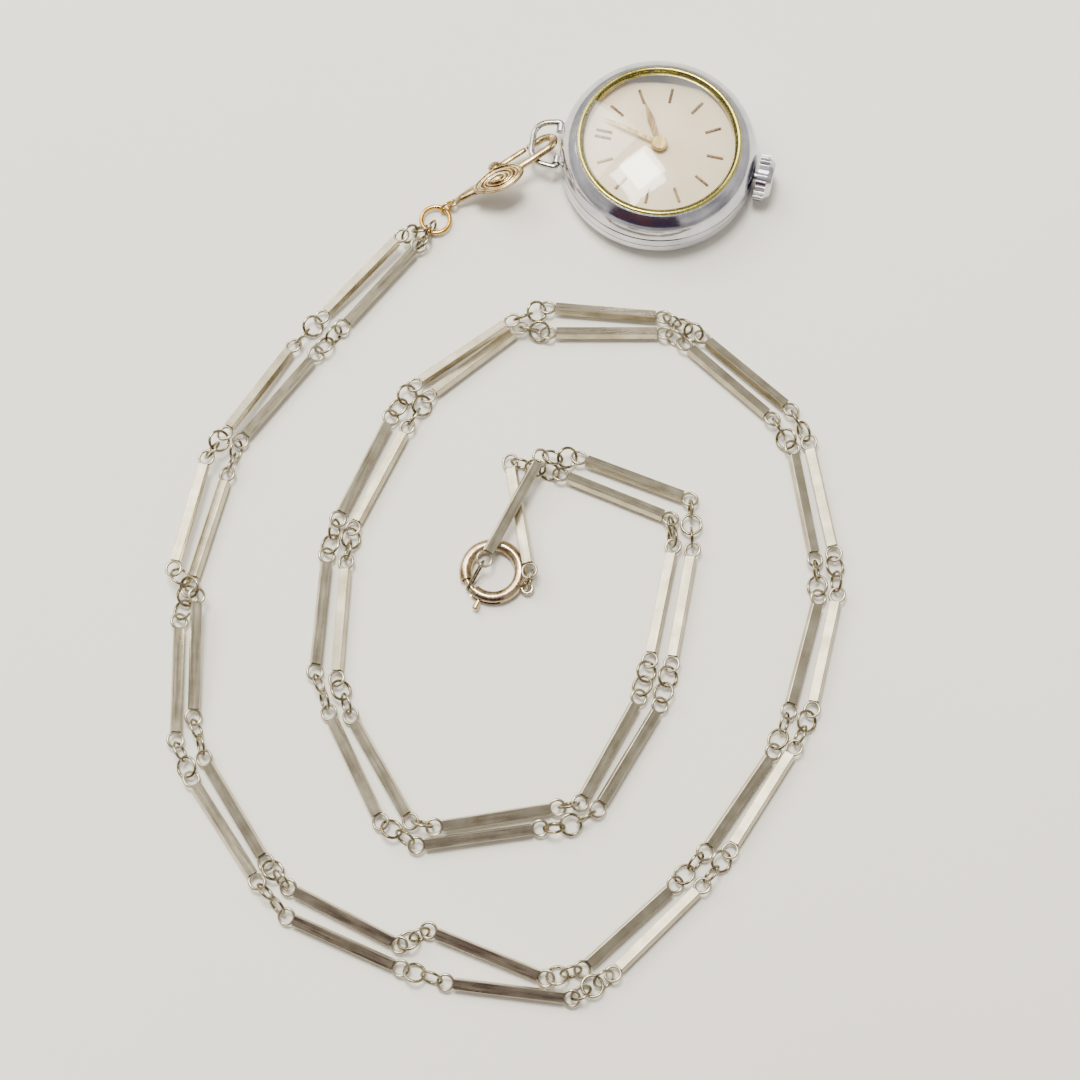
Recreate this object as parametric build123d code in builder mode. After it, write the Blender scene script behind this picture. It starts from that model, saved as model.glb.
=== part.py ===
"""Fob watch: a small hand-wound pendant watch on a doubled bar-link chain.

Millimetres, +Z up. The origin is the middle of the flat case back, which lies on the table at z = 0.
Twelve o'clock and the bow are at +Y, the crown is at -Y (six o'clock), three o'clock is at +X.
"""
import os
from math import asin, atan2, cos, degrees, hypot, pi, radians, sin

from build123d import *

os.makedirs("parts", exist_ok=True)

# ---------------------------------------------------------------- driving dimensions
CASE_R = 12.0            # outside of the case middle
CASE_TOP_R = 10.15       # top edge of the bezel
CASE_TOP_Z = 7.2
SIDE_TOP_Z = 4.3         # where the straight side ends
BACK_FLAT_R = 10.2       # flat of the case back
JOINT_Z = 1.1            # joint between case back and case middle
SNAP_R = 10.75           # snap lip of the case back
GASKET_R = 11.05
MOVEMENT_R = 10.3        # bore of the case for the movement
DIAL_TOP_Z = 5.75
DIAL_THICK = 0.3
REHAUT_R = 9.3
CRYSTAL_SEAT_Z = 6.5
CRYSTAL_SEAT_R = 9.95
CRYSTAL_R = 9.6
CRYSTAL_TOP_Z = 9.0
CRYSTAL_IN_Z = 8.2       # inside of the dome
CRYSTAL_LIP_R = 9.1

CROWN_Z = 3.0            # height of the crown and stem axis
CROWN_R = 2.8
CROWN_IN_Y = -12.35
CROWN_RIM_Y = -13.6
CROWN_CAP_Y = -14.3
CROWN_FLUTES = 26
CROWN_TRAVEL = 0.6
TUBE_R = 0.75
STEM_R = 0.45

PLATE_R = 9.3            # main plate
PLATE_Z = 3.7
PLATE_THICK = 1.0
BRIDGE_FOOT_R = 8.3      # inside of the bridge feet

# wheel centres
CENTRE = (0.0, 0.0)
BARREL = (-3.161, -2.531)
THIRD = (2.785, 1.95)
FOURTH = (0.372, 3.975)
ESCAPE = (-2.316, 2.997)
PALLET = (-3.249, 4.594)
BALANCE = (-5.1, 3.6)
CROWN_WHEEL = (0.0, -5.9)
MINUTE_WHEEL = (1.16, -2.1)
SETTING_WHEEL = (0.0, -4.65)

# (teeth, module) of each toothed part
BARREL_TEETH = (80, 0.09)
CENTRE_PINION = (10, 0.09)
CENTRE_TEETH = (75, 0.08)
THIRD_PINION = (10, 0.08)
THIRD_TEETH = (80, 0.07)
FOURTH_PINION = (10, 0.07)
FOURTH_TEETH = (80, 0.065)
ESCAPE_PINION = (8, 0.065)
CANNON_TEETH = (12, 0.1)
MINUTE_TEETH = (36, 0.1)
MINUTE_PINION = (10, 0.0959)
HOUR_TEETH = (40, 0.0959)
SETTING_TEETH = (20, 0.1)
CROWN_WHEEL_TEETH = (26, 0.14)
RATCHET_TEETH = (40, 0.14)
WINDING_TEETH = (13, 0.16)
ESCAPE_COUNT = 15
ESCAPE_R = 1.6
BALANCE_R = 2.35

# hands and markers
HOUR_HAND_ANGLE = 61.0   # clockwise from twelve
HOUR_HAND_LENGTH = 5.85
MINUTE_HAND_ANGLE = 14.0
MARKER_R = 6.9
MARKER_LENGTH = 2.0
MARKER_WIDTH = 0.33

# bow
BOW_TURN = 5.65          # the bow stands this far round from twelve
BOW_HINGE_R = 12.18
BOW_WIRE_R = 0.38
BOW_HALF = 3.1
BOW_RISE = 3.3

# lobster clasp: the crossing with the bow, direction of the nose, sideways tilt and pitch
CLASP_AT = (-2.75, 15.0, 3.0)
CLASP_HEADING = -45.3
CLASP_PITCH = 9.4
CLASP_TILT = 40.0
CLASP_TAIL = 11.75       # from the crossing back to the tail eye
HOOK_R = 1.9
HOOK_WIDTH = 0.7
CLASP_THICK = 0.7

# rings between clasp and chain
CLASP_RING_AT = (-11.5, 23.85, 1.04)
CLASP_RING_R = 0.85
CLASP_RING_WIRE = 0.17
JUMP_RING_AT = (-13.38, 24.82, 0.75)
JUMP_RING_R = 1.75
JUMP_RING_WIRE = 0.27

# chain: bar links with an eye at each end, wire rings between the eyes
EYE_SPACING = 14.0       # eye centre to eye centre of one bar
BAR_LENGTH = 12.1
BAR_WIDTH = 1.2
BAR_THICK = 0.9
EYE_R = 0.88
RING_R = 1.17
WIRE_R = 0.17
CHAIN_Z = 1.05
TABLE_GAP = 0.02
ONE_RING_GAP = 3.25      # eye distance that one ring spans
TWO_RING_GAP = 5.2

# spring ring clasp
SPRING_RING_AT = (-55.5, 7.6, 0.8)
SPRING_RING_R = 3.2
SPRING_TUBE_R = 0.75
SPRING_BORE_R = 0.5
BOLT_R = 0.34
GAP_START = 121.0
GAP_END = 150.0
TAIL_ANGLE = 256.0
TAIL_EYE_OUT = 4.45
TAIL_EYE_R = 0.62
TAIL_WIRE_R = 0.2

# each bar of the two strands as it lies: x, y, heading, roll (degrees)
STRAND_A = [
    (-23.1, 31.6, 150, 20), (-40.0, 39.8, 160, 20), (-57.0, 43.5, 180, 10), (-73.4, 38.4, -167, -20),
    (-89.4, 29.4, -135, 20), (-98.2, 14.5, -104, 20), (-98.7, -2.0, -99, 20), (-92.2, -16.6, -35, 20),
    (-75.7, -25.7, -22, 20), (-57.2, -29.5, -3, 20), (-39.3, -26.0, 22, 20), (-26.2, -14.3, 60, 20),
    (-23.4, 1.2, 103, 20), (-30.6, 15.8, 142, 20), (-47.3, 23.2, 167, 20), (-65.2, 23.3, -170, 20),
    (-81.1, 14.6, -137, 20), (-83.6, 0.6, -68, 20), (-73.2, -10.2, -16, 20), (-54.9, -12.3, 1, -20),
    (-43.4, -4.3, 80, 20), (-48.44, 6.06, -157.6, 20),
]
STRAND_B = [
    (-23.6, 29.2, 153, -20), (-40.2, 37.5, 155, -20), (-58.0, 41.1, 178, 20), (-76.4, 39.8, -166, -20),
    (-91.9, 30.0, -133, -20), (-101.0, 13.8, -101, 20), (-102.0, -5.2, -84, 20), (-91.8, -19.8, -33, -20),
    (-74.8, -28.2, -20, -20), (-56.4, -31.8, -1, -20), (-38.1, -27.9, 23, -20), (-24.7, -16.2, 61, 20),
    (-20.8, 1.9, 98, 20), (-30.0, 17.3, 137, 20), (-46.6, 25.3, 168, -20), (-65.0, 25.8, -171, -20),
    (-81.6, 17.5, -141, 20), (-86.2, 2.0, -69, 20), (-73.5, -12.5, -18, 20), (-54.8, -14.7, 2, -20),
    (-40.72, -6.0, 81.4, 20), (-48.0, 7.0, 165.3, -20),
]
# bars that lie over others: number from one, height of the first and of the last eye
LIFTS_A = {1: (2.3, 1.05), 2: (1.05, 2.4), 3: (2.4, 2.6), 4: (2.9, 1.05), 22: (1.05, 2.2)}
LIFTS_B = {14: (2.3, 1.05), 22: (2.9, 2.5)}
# rings from the jump ring to the first eyes: distance from the jump ring's wire,
# distance to the side, lean in degrees
START_A = ((0.47, 0.15, -48), (2.36, 0.17, 67))
START_B = ((-0.05, 0.34, 85), (1.69, 0.24, -55))
# gaps whose rings bow out sideways: number of the bar before the gap, distance
BULGES_A = {}
BULGES_B = {18: -0.7}


# ---------------------------------------------------------------- helpers
def polar(centre, radius, angle):
    """A point at a radius and an angle in degrees from a centre."""
    return centre[0] + radius * cos(radians(angle)), centre[1] + radius * sin(radians(angle))


def direction(a, b):
    """Angle in degrees of the line from a to b."""
    return degrees(atan2(b[1] - a[1], b[0] - a[0]))


def pitch_radius(gear):
    teeth, module = gear
    return teeth * module / 2


def gear_outline(gear, centre, phase):
    """Corner points of a wheel with straight-flanked teeth, one tooth centred at the phase angle."""
    teeth, module = gear
    tip = pitch_radius(gear) + 0.75 * module
    root = pitch_radius(gear) - 1.05 * module
    step = 360 / teeth
    points = []
    for n in range(teeth):
        middle = phase + n * step
        points.append(polar(centre, root, middle - 0.3 * step))
        points.append(polar(centre, tip, middle - 0.12 * step))
        points.append(polar(centre, tip, middle + 0.12 * step))
        points.append(polar(centre, root, middle + 0.3 * step))
    return points


def meshing_phase(centre_a, gear_a, phase_a, centre_b, gear_b):
    """Phase of gear b so that its gaps face the teeth of gear a."""
    line = direction(centre_a, centre_b)
    offset = (line - phase_a) / (360 / gear_a[0])
    return line + 180 - (0.5 - offset) * 360 / gear_b[0]


def toothed_layer(gear, centre, phase, low, thick):
    """Add one toothed disc to the part being built."""
    with BuildSketch(Plane.XY.offset(low)) as profile:
        with BuildLine():
            Polyline(*gear_outline(gear, centre, phase), close=True)
        make_face()
    extrude(profile.sketch, amount=thick)


def rod(centre, radius, low, high, mode=Mode.ADD):
    """Add or cut an upright round rod or hole."""
    with BuildSketch(Plane.XY.offset(low)) as profile:
        with Locations(centre):
            Circle(radius)
    extrude(profile.sketch, amount=high - low, mode=mode)


def spoke_openings(centre, inner, outer, spokes, width, low, high):
    """Cut a wheel's crossings so that only its spokes are left."""
    with BuildSketch(Plane.XY.offset(low)) as profile:
        with Locations(centre):
            Circle(outer)
            Circle(inner, mode=Mode.SUBTRACT)
            with PolarLocations(0, spokes):
                Rectangle(outer * 2, width, align=(Align.MIN, Align.CENTER), mode=Mode.SUBTRACT)
    extrude(profile.sketch, amount=high - low, mode=Mode.SUBTRACT)


def sector(inner, outer, start, end):
    """Sketch a ring sector about the origin."""
    with BuildLine() as outline:
        CenterArc((0, 0), outer, start, end - start)
        Line(polar((0, 0), outer, end), polar((0, 0), inner, end))
        CenterArc((0, 0), inner, start, end - start)
        Line(polar((0, 0), inner, start), polar((0, 0), outer, start))
    make_face(outline.edges())


def dome_point(edge, top, share):
    """A point on the round dome that rises from an edge point to the axis."""
    radius, low = edge
    rise = top - low
    sphere = (radius ** 2 + rise ** 2) / (2 * rise)
    x = radius * share
    return x, top - sphere + (sphere ** 2 - x ** 2) ** 0.5


# ---------------------------------------------------------------- case
with BuildPart() as case_middle:
    with BuildSketch(Plane.XZ):
        with BuildLine():
            Polyline((GASKET_R, JOINT_Z), (11.6, JOINT_Z), (CASE_R, 1.7), (CASE_R, 2.82), (11.9, 2.9),
                     (CASE_R, 2.98), (CASE_R, SIDE_TOP_Z), (11.87, 4.42), (11.96, 4.54))
            ThreePointArc((11.96, 4.54), (11.42, 6.05), (CASE_TOP_R, CASE_TOP_Z))
            Polyline((CASE_TOP_R, CASE_TOP_Z), (CRYSTAL_SEAT_R, CASE_TOP_Z), (CRYSTAL_SEAT_R, CRYSTAL_SEAT_Z),
                     (9.45, CRYSTAL_SEAT_Z), (REHAUT_R, DIAL_TOP_Z), (MOVEMENT_R, DIAL_TOP_Z),
                     (MOVEMENT_R, 1.75), (SNAP_R, 1.75), (SNAP_R, 1.45), (GASKET_R, 1.45),
                     (GASKET_R, JOINT_Z))
        make_face()
    revolve(axis=Axis.Z)
    # two lugs for the bow, standing out from the band
    bow_frame = Plane(origin=(0, 0, CROWN_Z), x_dir=Vector(1, 0, 0).rotate(Axis.Z, BOW_TURN),
                      z_dir=(0, 0, 1))
    lug_inner, lug_outer = 1.75, 2.6
    for side in (-1, 1):
        across = Plane(origin=bow_frame.from_local_coords(Vector(side * lug_inner, 0, 0)),
                       x_dir=bow_frame.y_dir, z_dir=bow_frame.x_dir * side)
        with BuildSketch(across):
            with Locations((BOW_HINGE_R, 0)):
                Circle(0.6)
            with Locations((BOW_HINGE_R, 0)):
                Rectangle(0.75, 1.2, align=(Align.MAX, Align.CENTER))
        extrude(amount=lug_outer - lug_inner)
        with BuildSketch(across.offset(0.15)):
            with Locations((BOW_HINGE_R, 0)):
                Circle(BOW_WIRE_R + 0.05)
        extrude(amount=lug_outer, mode=Mode.SUBTRACT)
    # hole for the crown tube
    with BuildSketch(Plane(origin=(0, -9.5, CROWN_Z), x_dir=(1, 0, 0), z_dir=(0, -1, 0))):
        Circle(TUBE_R)
    extrude(amount=3.0, mode=Mode.SUBTRACT)
case_middle.part.label = "case_middle"
export_step(case_middle.part, "parts/case_middle.step")

with BuildPart() as case_back:
    with BuildSketch(Plane.XZ):
        with BuildLine():
            Line((0, 0), (BACK_FLAT_R, 0))
            ThreePointArc((BACK_FLAT_R, 0), (11.2, 0.42), (11.6, JOINT_Z))
            Polyline((11.6, JOINT_Z), (SNAP_R, JOINT_Z), (SNAP_R, 1.6), (10.3, 1.6), (10.3, 1.0),
                     (9.8, 0.55), (0, 0.55), (0, 0))
        make_face()
    revolve(axis=Axis.Z)
case_back.part.label = "case_back"
export_step(case_back.part, "parts/case_back.step")

with BuildPart() as back_gasket:
    with BuildSketch(Plane.XY.offset(JOINT_Z)):
        Circle(GASKET_R)
        Circle(SNAP_R, mode=Mode.SUBTRACT)
    extrude(amount=0.35)
back_gasket.part.label = "back_gasket"
export_step(back_gasket.part, "parts/back_gasket.step")

with BuildPart() as crystal:
    with BuildSketch(Plane.XZ):
        with BuildLine():
            ThreePointArc((CRYSTAL_R, 7.3), dome_point((CRYSTAL_R, 7.3), CRYSTAL_TOP_Z, 0.5),
                          (0, CRYSTAL_TOP_Z))
            Line((0, CRYSTAL_TOP_Z), (0, CRYSTAL_IN_Z))
            ThreePointArc((0, CRYSTAL_IN_Z), dome_point((CRYSTAL_LIP_R, 6.95), CRYSTAL_IN_Z, 0.5),
                          (CRYSTAL_LIP_R, 6.95))
            Polyline((CRYSTAL_LIP_R, 6.95), (CRYSTAL_LIP_R, CRYSTAL_SEAT_Z), (CRYSTAL_R, CRYSTAL_SEAT_Z),
                     (CRYSTAL_R, 7.3))
        make_face()
    revolve(axis=Axis.Z)
crystal.part.label = "crystal"
export_step(crystal.part, "parts/crystal.step")

with BuildPart() as crystal_ring:
    with BuildSketch(Plane.XZ):
        with BuildLine():
            Polyline((CRYSTAL_R, 7.28), (CRYSTAL_R, CRYSTAL_SEAT_Z), (CRYSTAL_SEAT_R, CRYSTAL_SEAT_Z),
                     (CRYSTAL_SEAT_R, 7.28))
            ThreePointArc((CRYSTAL_SEAT_R, 7.28), ((CRYSTAL_R + CRYSTAL_SEAT_R) / 2, 7.42), (CRYSTAL_R, 7.28))
        make_face()
    revolve(axis=Axis.Z)
crystal_ring.part.label = "crystal_ring"
export_step(crystal_ring.part, "parts/crystal_ring.step")

# ---------------------------------------------------------------- dial and hands
HUB_HOLE_R = 0.72
with BuildPart() as dial:
    rod(CENTRE, 10.2, DIAL_TOP_Z - DIAL_THICK, DIAL_TOP_Z)
    rod(CENTRE, HUB_HOLE_R, DIAL_TOP_Z - DIAL_THICK, DIAL_TOP_Z, mode=Mode.SUBTRACT)
dial.part.label = "dial"
export_step(dial.part, "parts/dial.step")

with BuildPart() as hour_markers:
    with BuildSketch(Plane.XY.offset(DIAL_TOP_Z)):
        for hour in range(1, 12):
            with Locations(Location((*polar(CENTRE, MARKER_R, 90 - 30 * hour), 0), (0, 0, 90 - 30 * hour))):
                Rectangle(MARKER_LENGTH, MARKER_WIDTH)
        with Locations((-0.42, MARKER_R), (0.42, MARKER_R)):
            Rectangle(MARKER_WIDTH, MARKER_LENGTH)
    extrude(amount=0.16)
    top = hour_markers.faces().filter_by(Axis.Z).group_by(Axis.Z)[-1]
    chamfer(top.edges(), 0.05)
hour_markers.part.label = "hour_markers"
export_step(hour_markers.part, "parts/hour_markers.step")


def hand_plane(angle, height):
    """Plane of a hand: local x points along the hand."""
    return Plane(origin=(0, 0, height), x_dir=(sin(radians(angle)), cos(radians(angle)), 0), z_dir=(0, 0, 1))


CANNON_TUBE_R = 0.42
HOUR_TUBE_IN = 0.46
HOUR_TUBE_OUT = 0.62
with BuildPart() as hour_hand:
    with BuildSketch(hand_plane(HOUR_HAND_ANGLE, 6.05)):
        Circle(1.0)
        with BuildLine():
            Polyline((0.5, 0.3), (3.6, 0.44), (HOUR_HAND_LENGTH, 0.06),
                     (HOUR_HAND_LENGTH, -0.06), (3.6, -0.44), (0.5, -0.3),
                     (0.5, 0.3))
        make_face()
        Circle(HOUR_TUBE_OUT, mode=Mode.SUBTRACT)
    extrude(amount=0.14)
hour_hand.part.label = "hour_hand"
export_step(hour_hand.part, "parts/hour_hand.step")

with BuildPart() as minute_hand:
    with BuildSketch(hand_plane(MINUTE_HAND_ANGLE, 6.45)):
        Circle(1.0)
        with BuildLine():
            Polyline((0.5, 0.2), (5.2, 0.24), (7.6, 0.04), (7.6, -0.04), (5.2, -0.24), (0.5, -0.2),
                     (0.5, 0.2))
        make_face()
    extrude(amount=0.14)
    with BuildSketch(Plane.XY.offset(6.59)):
        Circle(1.0)
    extrude(amount=0.26, taper=30)
    rod(CENTRE, CANNON_TUBE_R, 6.4, 6.66, mode=Mode.SUBTRACT)
minute_hand.part.label = "minute_hand"
export_step(minute_hand.part, "parts/minute_hand.step")

# ---------------------------------------------------------------- movement frame
SLOT_HALF = 1.35         # opening for the stem and its pinions
with BuildPart() as movement_ring:
    rod(CENTRE, MOVEMENT_R, 1.8, DIAL_TOP_Z - DIAL_THICK)
    rod(CENTRE, PLATE_R, 1.8, DIAL_TOP_Z - DIAL_THICK, mode=Mode.SUBTRACT)
    with BuildSketch(Plane(origin=(0, -9.0, CROWN_Z), x_dir=(1, 0, 0), z_dir=(0, -1, 0))):
        Rectangle(2 * SLOT_HALF, 2.4)
    extrude(amount=2.0, mode=Mode.SUBTRACT)
movement_ring.part.label = "movement_ring"
export_step(movement_ring.part, "parts/movement_ring.step")

PIVOTS = (THIRD, FOURTH, ESCAPE, PALLET, BALANCE)
JEWEL_R = 0.42
PIVOT_R = 0.09
PIVOT_HOLE_R = 0.12
TRAIN_SCREWS = [polar(CENTRE, 8.72, a) for a in (-18, 45, 108)]
BARREL_SCREWS = [polar(CENTRE, 8.72, a) for a in (203, 240, 300)]
COCK_SCREWS = [polar(CENTRE, 8.95, 145)]
PALLET_SCREW = (-4.5, 6.4)
SCREW_R = 0.22
with BuildPart() as main_plate:
    rod(CENTRE, PLATE_R, PLATE_Z, PLATE_Z + PLATE_THICK)
    for pivot in PIVOTS:
        rod(pivot, JEWEL_R, PLATE_Z, PLATE_Z + 0.35, mode=Mode.SUBTRACT)
    rod(CENTRE, 0.32, PLATE_Z, PLATE_Z + PLATE_THICK, mode=Mode.SUBTRACT)
    rod(BARREL, 0.54, PLATE_Z, PLATE_Z + 0.6, mode=Mode.SUBTRACT)
    rod(SETTING_WHEEL, pitch_radius(SETTING_TEETH) + 0.2, PLATE_Z, PLATE_Z + PLATE_THICK, mode=Mode.SUBTRACT)
    rod(MINUTE_WHEEL, 0.16, PLATE_Z + PLATE_THICK, 5.35)
    for screw in TRAIN_SCREWS + BARREL_SCREWS + COCK_SCREWS + [PALLET_SCREW]:
        rod(screw, SCREW_R, PLATE_Z, PLATE_Z + 0.6, mode=Mode.SUBTRACT)
    with BuildSketch(Plane.XY.offset(PLATE_Z)):
        with Locations((0, -7.4)):
            Rectangle(2 * SLOT_HALF, 4.4)
    extrude(amount=0.6, mode=Mode.SUBTRACT)
main_plate.part.label = "main_plate"
export_step(main_plate.part, "parts/main_plate.step")

TRAIN_BRIDGE_Z = (1.3, 1.8)
with BuildPart() as train_bridge:
    with BuildSketch(Plane.XY.offset(TRAIN_BRIDGE_Z[0])):
        sector(0.2, 9.2, -30, 134)
        Circle(0.9)
        with Locations(BALANCE):
            Circle(BALANCE_R + 0.12, mode=Mode.SUBTRACT)
        with Locations(BARREL):
            Circle(pitch_radius(RATCHET_TEETH) + 0.25, mode=Mode.SUBTRACT)
        with Locations(polar(CENTRE, 9.2, 134)):
            Rectangle(1.8, 5.2, rotation=134, mode=Mode.SUBTRACT)
    extrude(amount=TRAIN_BRIDGE_Z[1] - TRAIN_BRIDGE_Z[0])
    with BuildSketch(Plane.XY.offset(TRAIN_BRIDGE_Z[1])):
        sector(BRIDGE_FOOT_R, 9.2, -30, 116)
    extrude(amount=PLATE_Z - TRAIN_BRIDGE_Z[1])
    for pivot in (THIRD, FOURTH, ESCAPE):
        rod(pivot, JEWEL_R - 0.12, *TRAIN_BRIDGE_Z, mode=Mode.SUBTRACT)
    rod(CENTRE, 0.2, *TRAIN_BRIDGE_Z, mode=Mode.SUBTRACT)
    for screw in TRAIN_SCREWS:
        rod(screw, SCREW_R, TRAIN_BRIDGE_Z[0], PLATE_Z, mode=Mode.SUBTRACT)
train_bridge.part.label = "train_bridge"
export_step(train_bridge.part, "parts/train_bridge.step")

BARREL_BRIDGE_Z = (1.88, 2.3)
with BuildPart() as barrel_bridge:
    with BuildSketch(Plane.XY.offset(BARREL_BRIDGE_Z[0])):
        sector(pitch_radius(CENTRE_TEETH) + 0.2, 9.2, 196, 327)
    extrude(amount=BARREL_BRIDGE_Z[1] - BARREL_BRIDGE_Z[0])
    with BuildSketch(Plane.XY.offset(BARREL_BRIDGE_Z[1])):
        sector(BRIDGE_FOOT_R, 9.2, 196, 258)
        sector(BRIDGE_FOOT_R, 9.2, 290, 327)
    extrude(amount=PLATE_Z - BARREL_BRIDGE_Z[1])
    with BuildSketch(Plane.XY.offset(BARREL_BRIDGE_Z[0])):
        with Locations((0, -8.5)):
            Rectangle(2 * SLOT_HALF, 2.3)
    extrude(amount=2.0, mode=Mode.SUBTRACT)
    with BuildSketch(Plane.XY.offset(2.1)):
        with Locations((0, -6.4)):
            Rectangle(2.0, 2.4)
    extrude(amount=1.0, mode=Mode.SUBTRACT)
    rod(BARREL, 0.54, *BARREL_BRIDGE_Z, mode=Mode.SUBTRACT)
    rod(CROWN_WHEEL, 0.22, *BARREL_BRIDGE_Z, mode=Mode.SUBTRACT)
    for screw in BARREL_SCREWS:
        rod(screw, SCREW_R, BARREL_BRIDGE_Z[0], PLATE_Z, mode=Mode.SUBTRACT)
barrel_bridge.part.label = "barrel_bridge"
export_step(barrel_bridge.part, "parts/barrel_bridge.step")

COCK_Z = (0.72, 1.12)
with BuildPart() as balance_cock:
    with BuildSketch(Plane.XY.offset(COCK_Z[0])):
        sector(5.2, 9.25, 136, 154)
        with Locations(BALANCE):
            Circle(1.0)
    extrude(amount=COCK_Z[1] - COCK_Z[0])
    with BuildSketch(Plane.XY.offset(COCK_Z[1])):
        sector(8.68, 9.25, 126, 164)
    extrude(amount=PLATE_Z - COCK_Z[1])
    rod(BALANCE, JEWEL_R - 0.12, *COCK_Z, mode=Mode.SUBTRACT)
    for screw in COCK_SCREWS:
        rod(screw, SCREW_R, COCK_Z[0], PLATE_Z, mode=Mode.SUBTRACT)
balance_cock.part.label = "balance_cock"
export_step(balance_cock.part, "parts/balance_cock.step")

PALLET_BRIDGE_Z = (2.08, 2.3)
with BuildPart() as pallet_bridge:
    with BuildSketch(Plane.XY.offset(PALLET_BRIDGE_Z[0])):
        with Locations(PALLET):
            Circle(0.5)
        with Locations(PALLET_SCREW):
            Circle(0.6)
        with Locations(((PALLET[0] + PALLET_SCREW[0]) / 2, (PALLET[1] + PALLET_SCREW[1]) / 2)):
            Rectangle(hypot(PALLET[0] - PALLET_SCREW[0], PALLET[1] - PALLET_SCREW[1]), 0.8,
                      rotation=direction(PALLET, PALLET_SCREW))
    extrude(amount=PALLET_BRIDGE_Z[1] - PALLET_BRIDGE_Z[0])
    rod(PALLET_SCREW, 0.6, PALLET_BRIDGE_Z[1], PLATE_Z)
    rod(PALLET, PIVOT_HOLE_R, *PALLET_BRIDGE_Z, mode=Mode.SUBTRACT)
    rod(PALLET_SCREW, SCREW_R, PALLET_BRIDGE_Z[0], PLATE_Z, mode=Mode.SUBTRACT)
pallet_bridge.part.label = "pallet_bridge"
export_step(pallet_bridge.part, "parts/pallet_bridge.step")

with BuildPart() as jewels:
    for pivot in PIVOTS:
        rod(pivot, JEWEL_R, PLATE_Z, PLATE_Z + 0.35)
        rod(pivot, PIVOT_HOLE_R, PLATE_Z, PLATE_Z + 0.35, mode=Mode.SUBTRACT)
    for pivot in (THIRD, FOURTH, ESCAPE):
        rod(pivot, JEWEL_R - 0.12, *TRAIN_BRIDGE_Z)
        rod(pivot, PIVOT_HOLE_R, *TRAIN_BRIDGE_Z, mode=Mode.SUBTRACT)
    rod(BALANCE, JEWEL_R - 0.12, *COCK_Z)
    rod(BALANCE, PIVOT_HOLE_R, *COCK_Z, mode=Mode.SUBTRACT)
jewels.part.label = "jewels"
export_step(jewels.part, "parts/jewels.step")


def bridge_screw(centre, seat):
    """A bridge screw: slotted head below the bridge, shank up into the main plate."""
    head_r, head_thick, slot = (0.36, 0.2, 0.1)
    rod(centre, head_r, seat - head_thick, seat)
    rod(centre, SCREW_R, seat, PLATE_Z + 0.55)
    with BuildSketch(Plane.XY.offset(seat - head_thick)) as driver_slot:
        with Locations(centre):
            Rectangle(2 * head_r, slot)
    extrude(driver_slot.sketch, amount=0.08, mode=Mode.SUBTRACT)


with BuildPart() as movement_screws:
    for screw in TRAIN_SCREWS:
        bridge_screw(screw, TRAIN_BRIDGE_Z[0])
    for screw in BARREL_SCREWS:
        bridge_screw(screw, BARREL_BRIDGE_Z[0])
    bridge_screw(PALLET_SCREW, PALLET_BRIDGE_Z[0])
    # the cock's screw is countersunk flush, so its head is a plain step in the shank
    rod(COCK_SCREWS[0], SCREW_R, COCK_Z[0], PLATE_Z + 0.55)
movement_screws.part.label = "movement_screws"
export_step(movement_screws.part, "parts/movement_screws.step")

# ---------------------------------------------------------------- going train
barrel_phase = 0.0
centre_phase = meshing_phase(BARREL, BARREL_TEETH, barrel_phase, CENTRE, CENTRE_PINION)
third_phase = meshing_phase(CENTRE, CENTRE_TEETH, 0, THIRD, THIRD_PINION)
fourth_phase = meshing_phase(THIRD, THIRD_TEETH, 0, FOURTH, FOURTH_PINION)
escape_phase = meshing_phase(FOURTH, FOURTH_TEETH, 0, ESCAPE, ESCAPE_PINION)

DRUM_R = 3.3
with BuildPart() as barrel:
    rod(BARREL, DRUM_R, 2.4, 3.55)
    toothed_layer(BARREL_TEETH, BARREL, barrel_phase, 3.1, 0.4)
    rod(BARREL, DRUM_R - 0.2, 2.58, 3.37, mode=Mode.SUBTRACT)
    rod(BARREL, 0.4, 2.4, 3.55, mode=Mode.SUBTRACT)
barrel.part.label = "barrel"
export_step(barrel.part, "parts/barrel.step")

SPRING_TURNS = 6
with BuildPart() as mainspring:
    with BuildSketch(Plane.XY.offset(2.65)):
        with BuildLine():
            steps = 24 * SPRING_TURNS
            inner = [polar(BARREL, 1.0 + 1.9 * k / steps, 15 * k) for k in range(steps + 1)]
            outer = [polar(BARREL, 1.12 + 1.9 * k / steps, 15 * k) for k in range(steps, -1, -1)]
            Polyline(*inner, *outer, close=True)
        make_face()
    extrude(amount=0.65)
mainspring.part.label = "mainspring"
export_step(mainspring.part, "parts/mainspring.step")

with BuildPart() as barrel_arbor:
    rod(BARREL, 0.7, 2.62, 3.33)
    rod(BARREL, 0.36, 1.9, PLATE_Z + 0.5)
    with BuildSketch(Plane.XY.offset(1.5)):
        with Locations(BARREL):
            Rectangle(0.5, 0.5)
    extrude(amount=0.4)
barrel_arbor.part.label = "barrel_arbor"
export_step(barrel_arbor.part, "parts/barrel_arbor.step")

with BuildPart() as centre_wheel:
    rod(CENTRE, 0.27, 2.0, PLATE_Z + PLATE_THICK)
    rod(CENTRE, 0.16, 1.35, 2.0)
    rod(CENTRE, 0.24, PLATE_Z + PLATE_THICK, 6.6)
    toothed_layer(CENTRE_TEETH, CENTRE, 0, 2.05, 0.2)
    spoke_openings(CENTRE, 0.9, 2.5, 4, 0.35, 2.05, 2.25)
    toothed_layer(CENTRE_PINION, CENTRE, centre_phase, 3.02, 0.56)
centre_wheel.part.label = "centre_wheel"
export_step(centre_wheel.part, "parts/centre_wheel.step")


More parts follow.
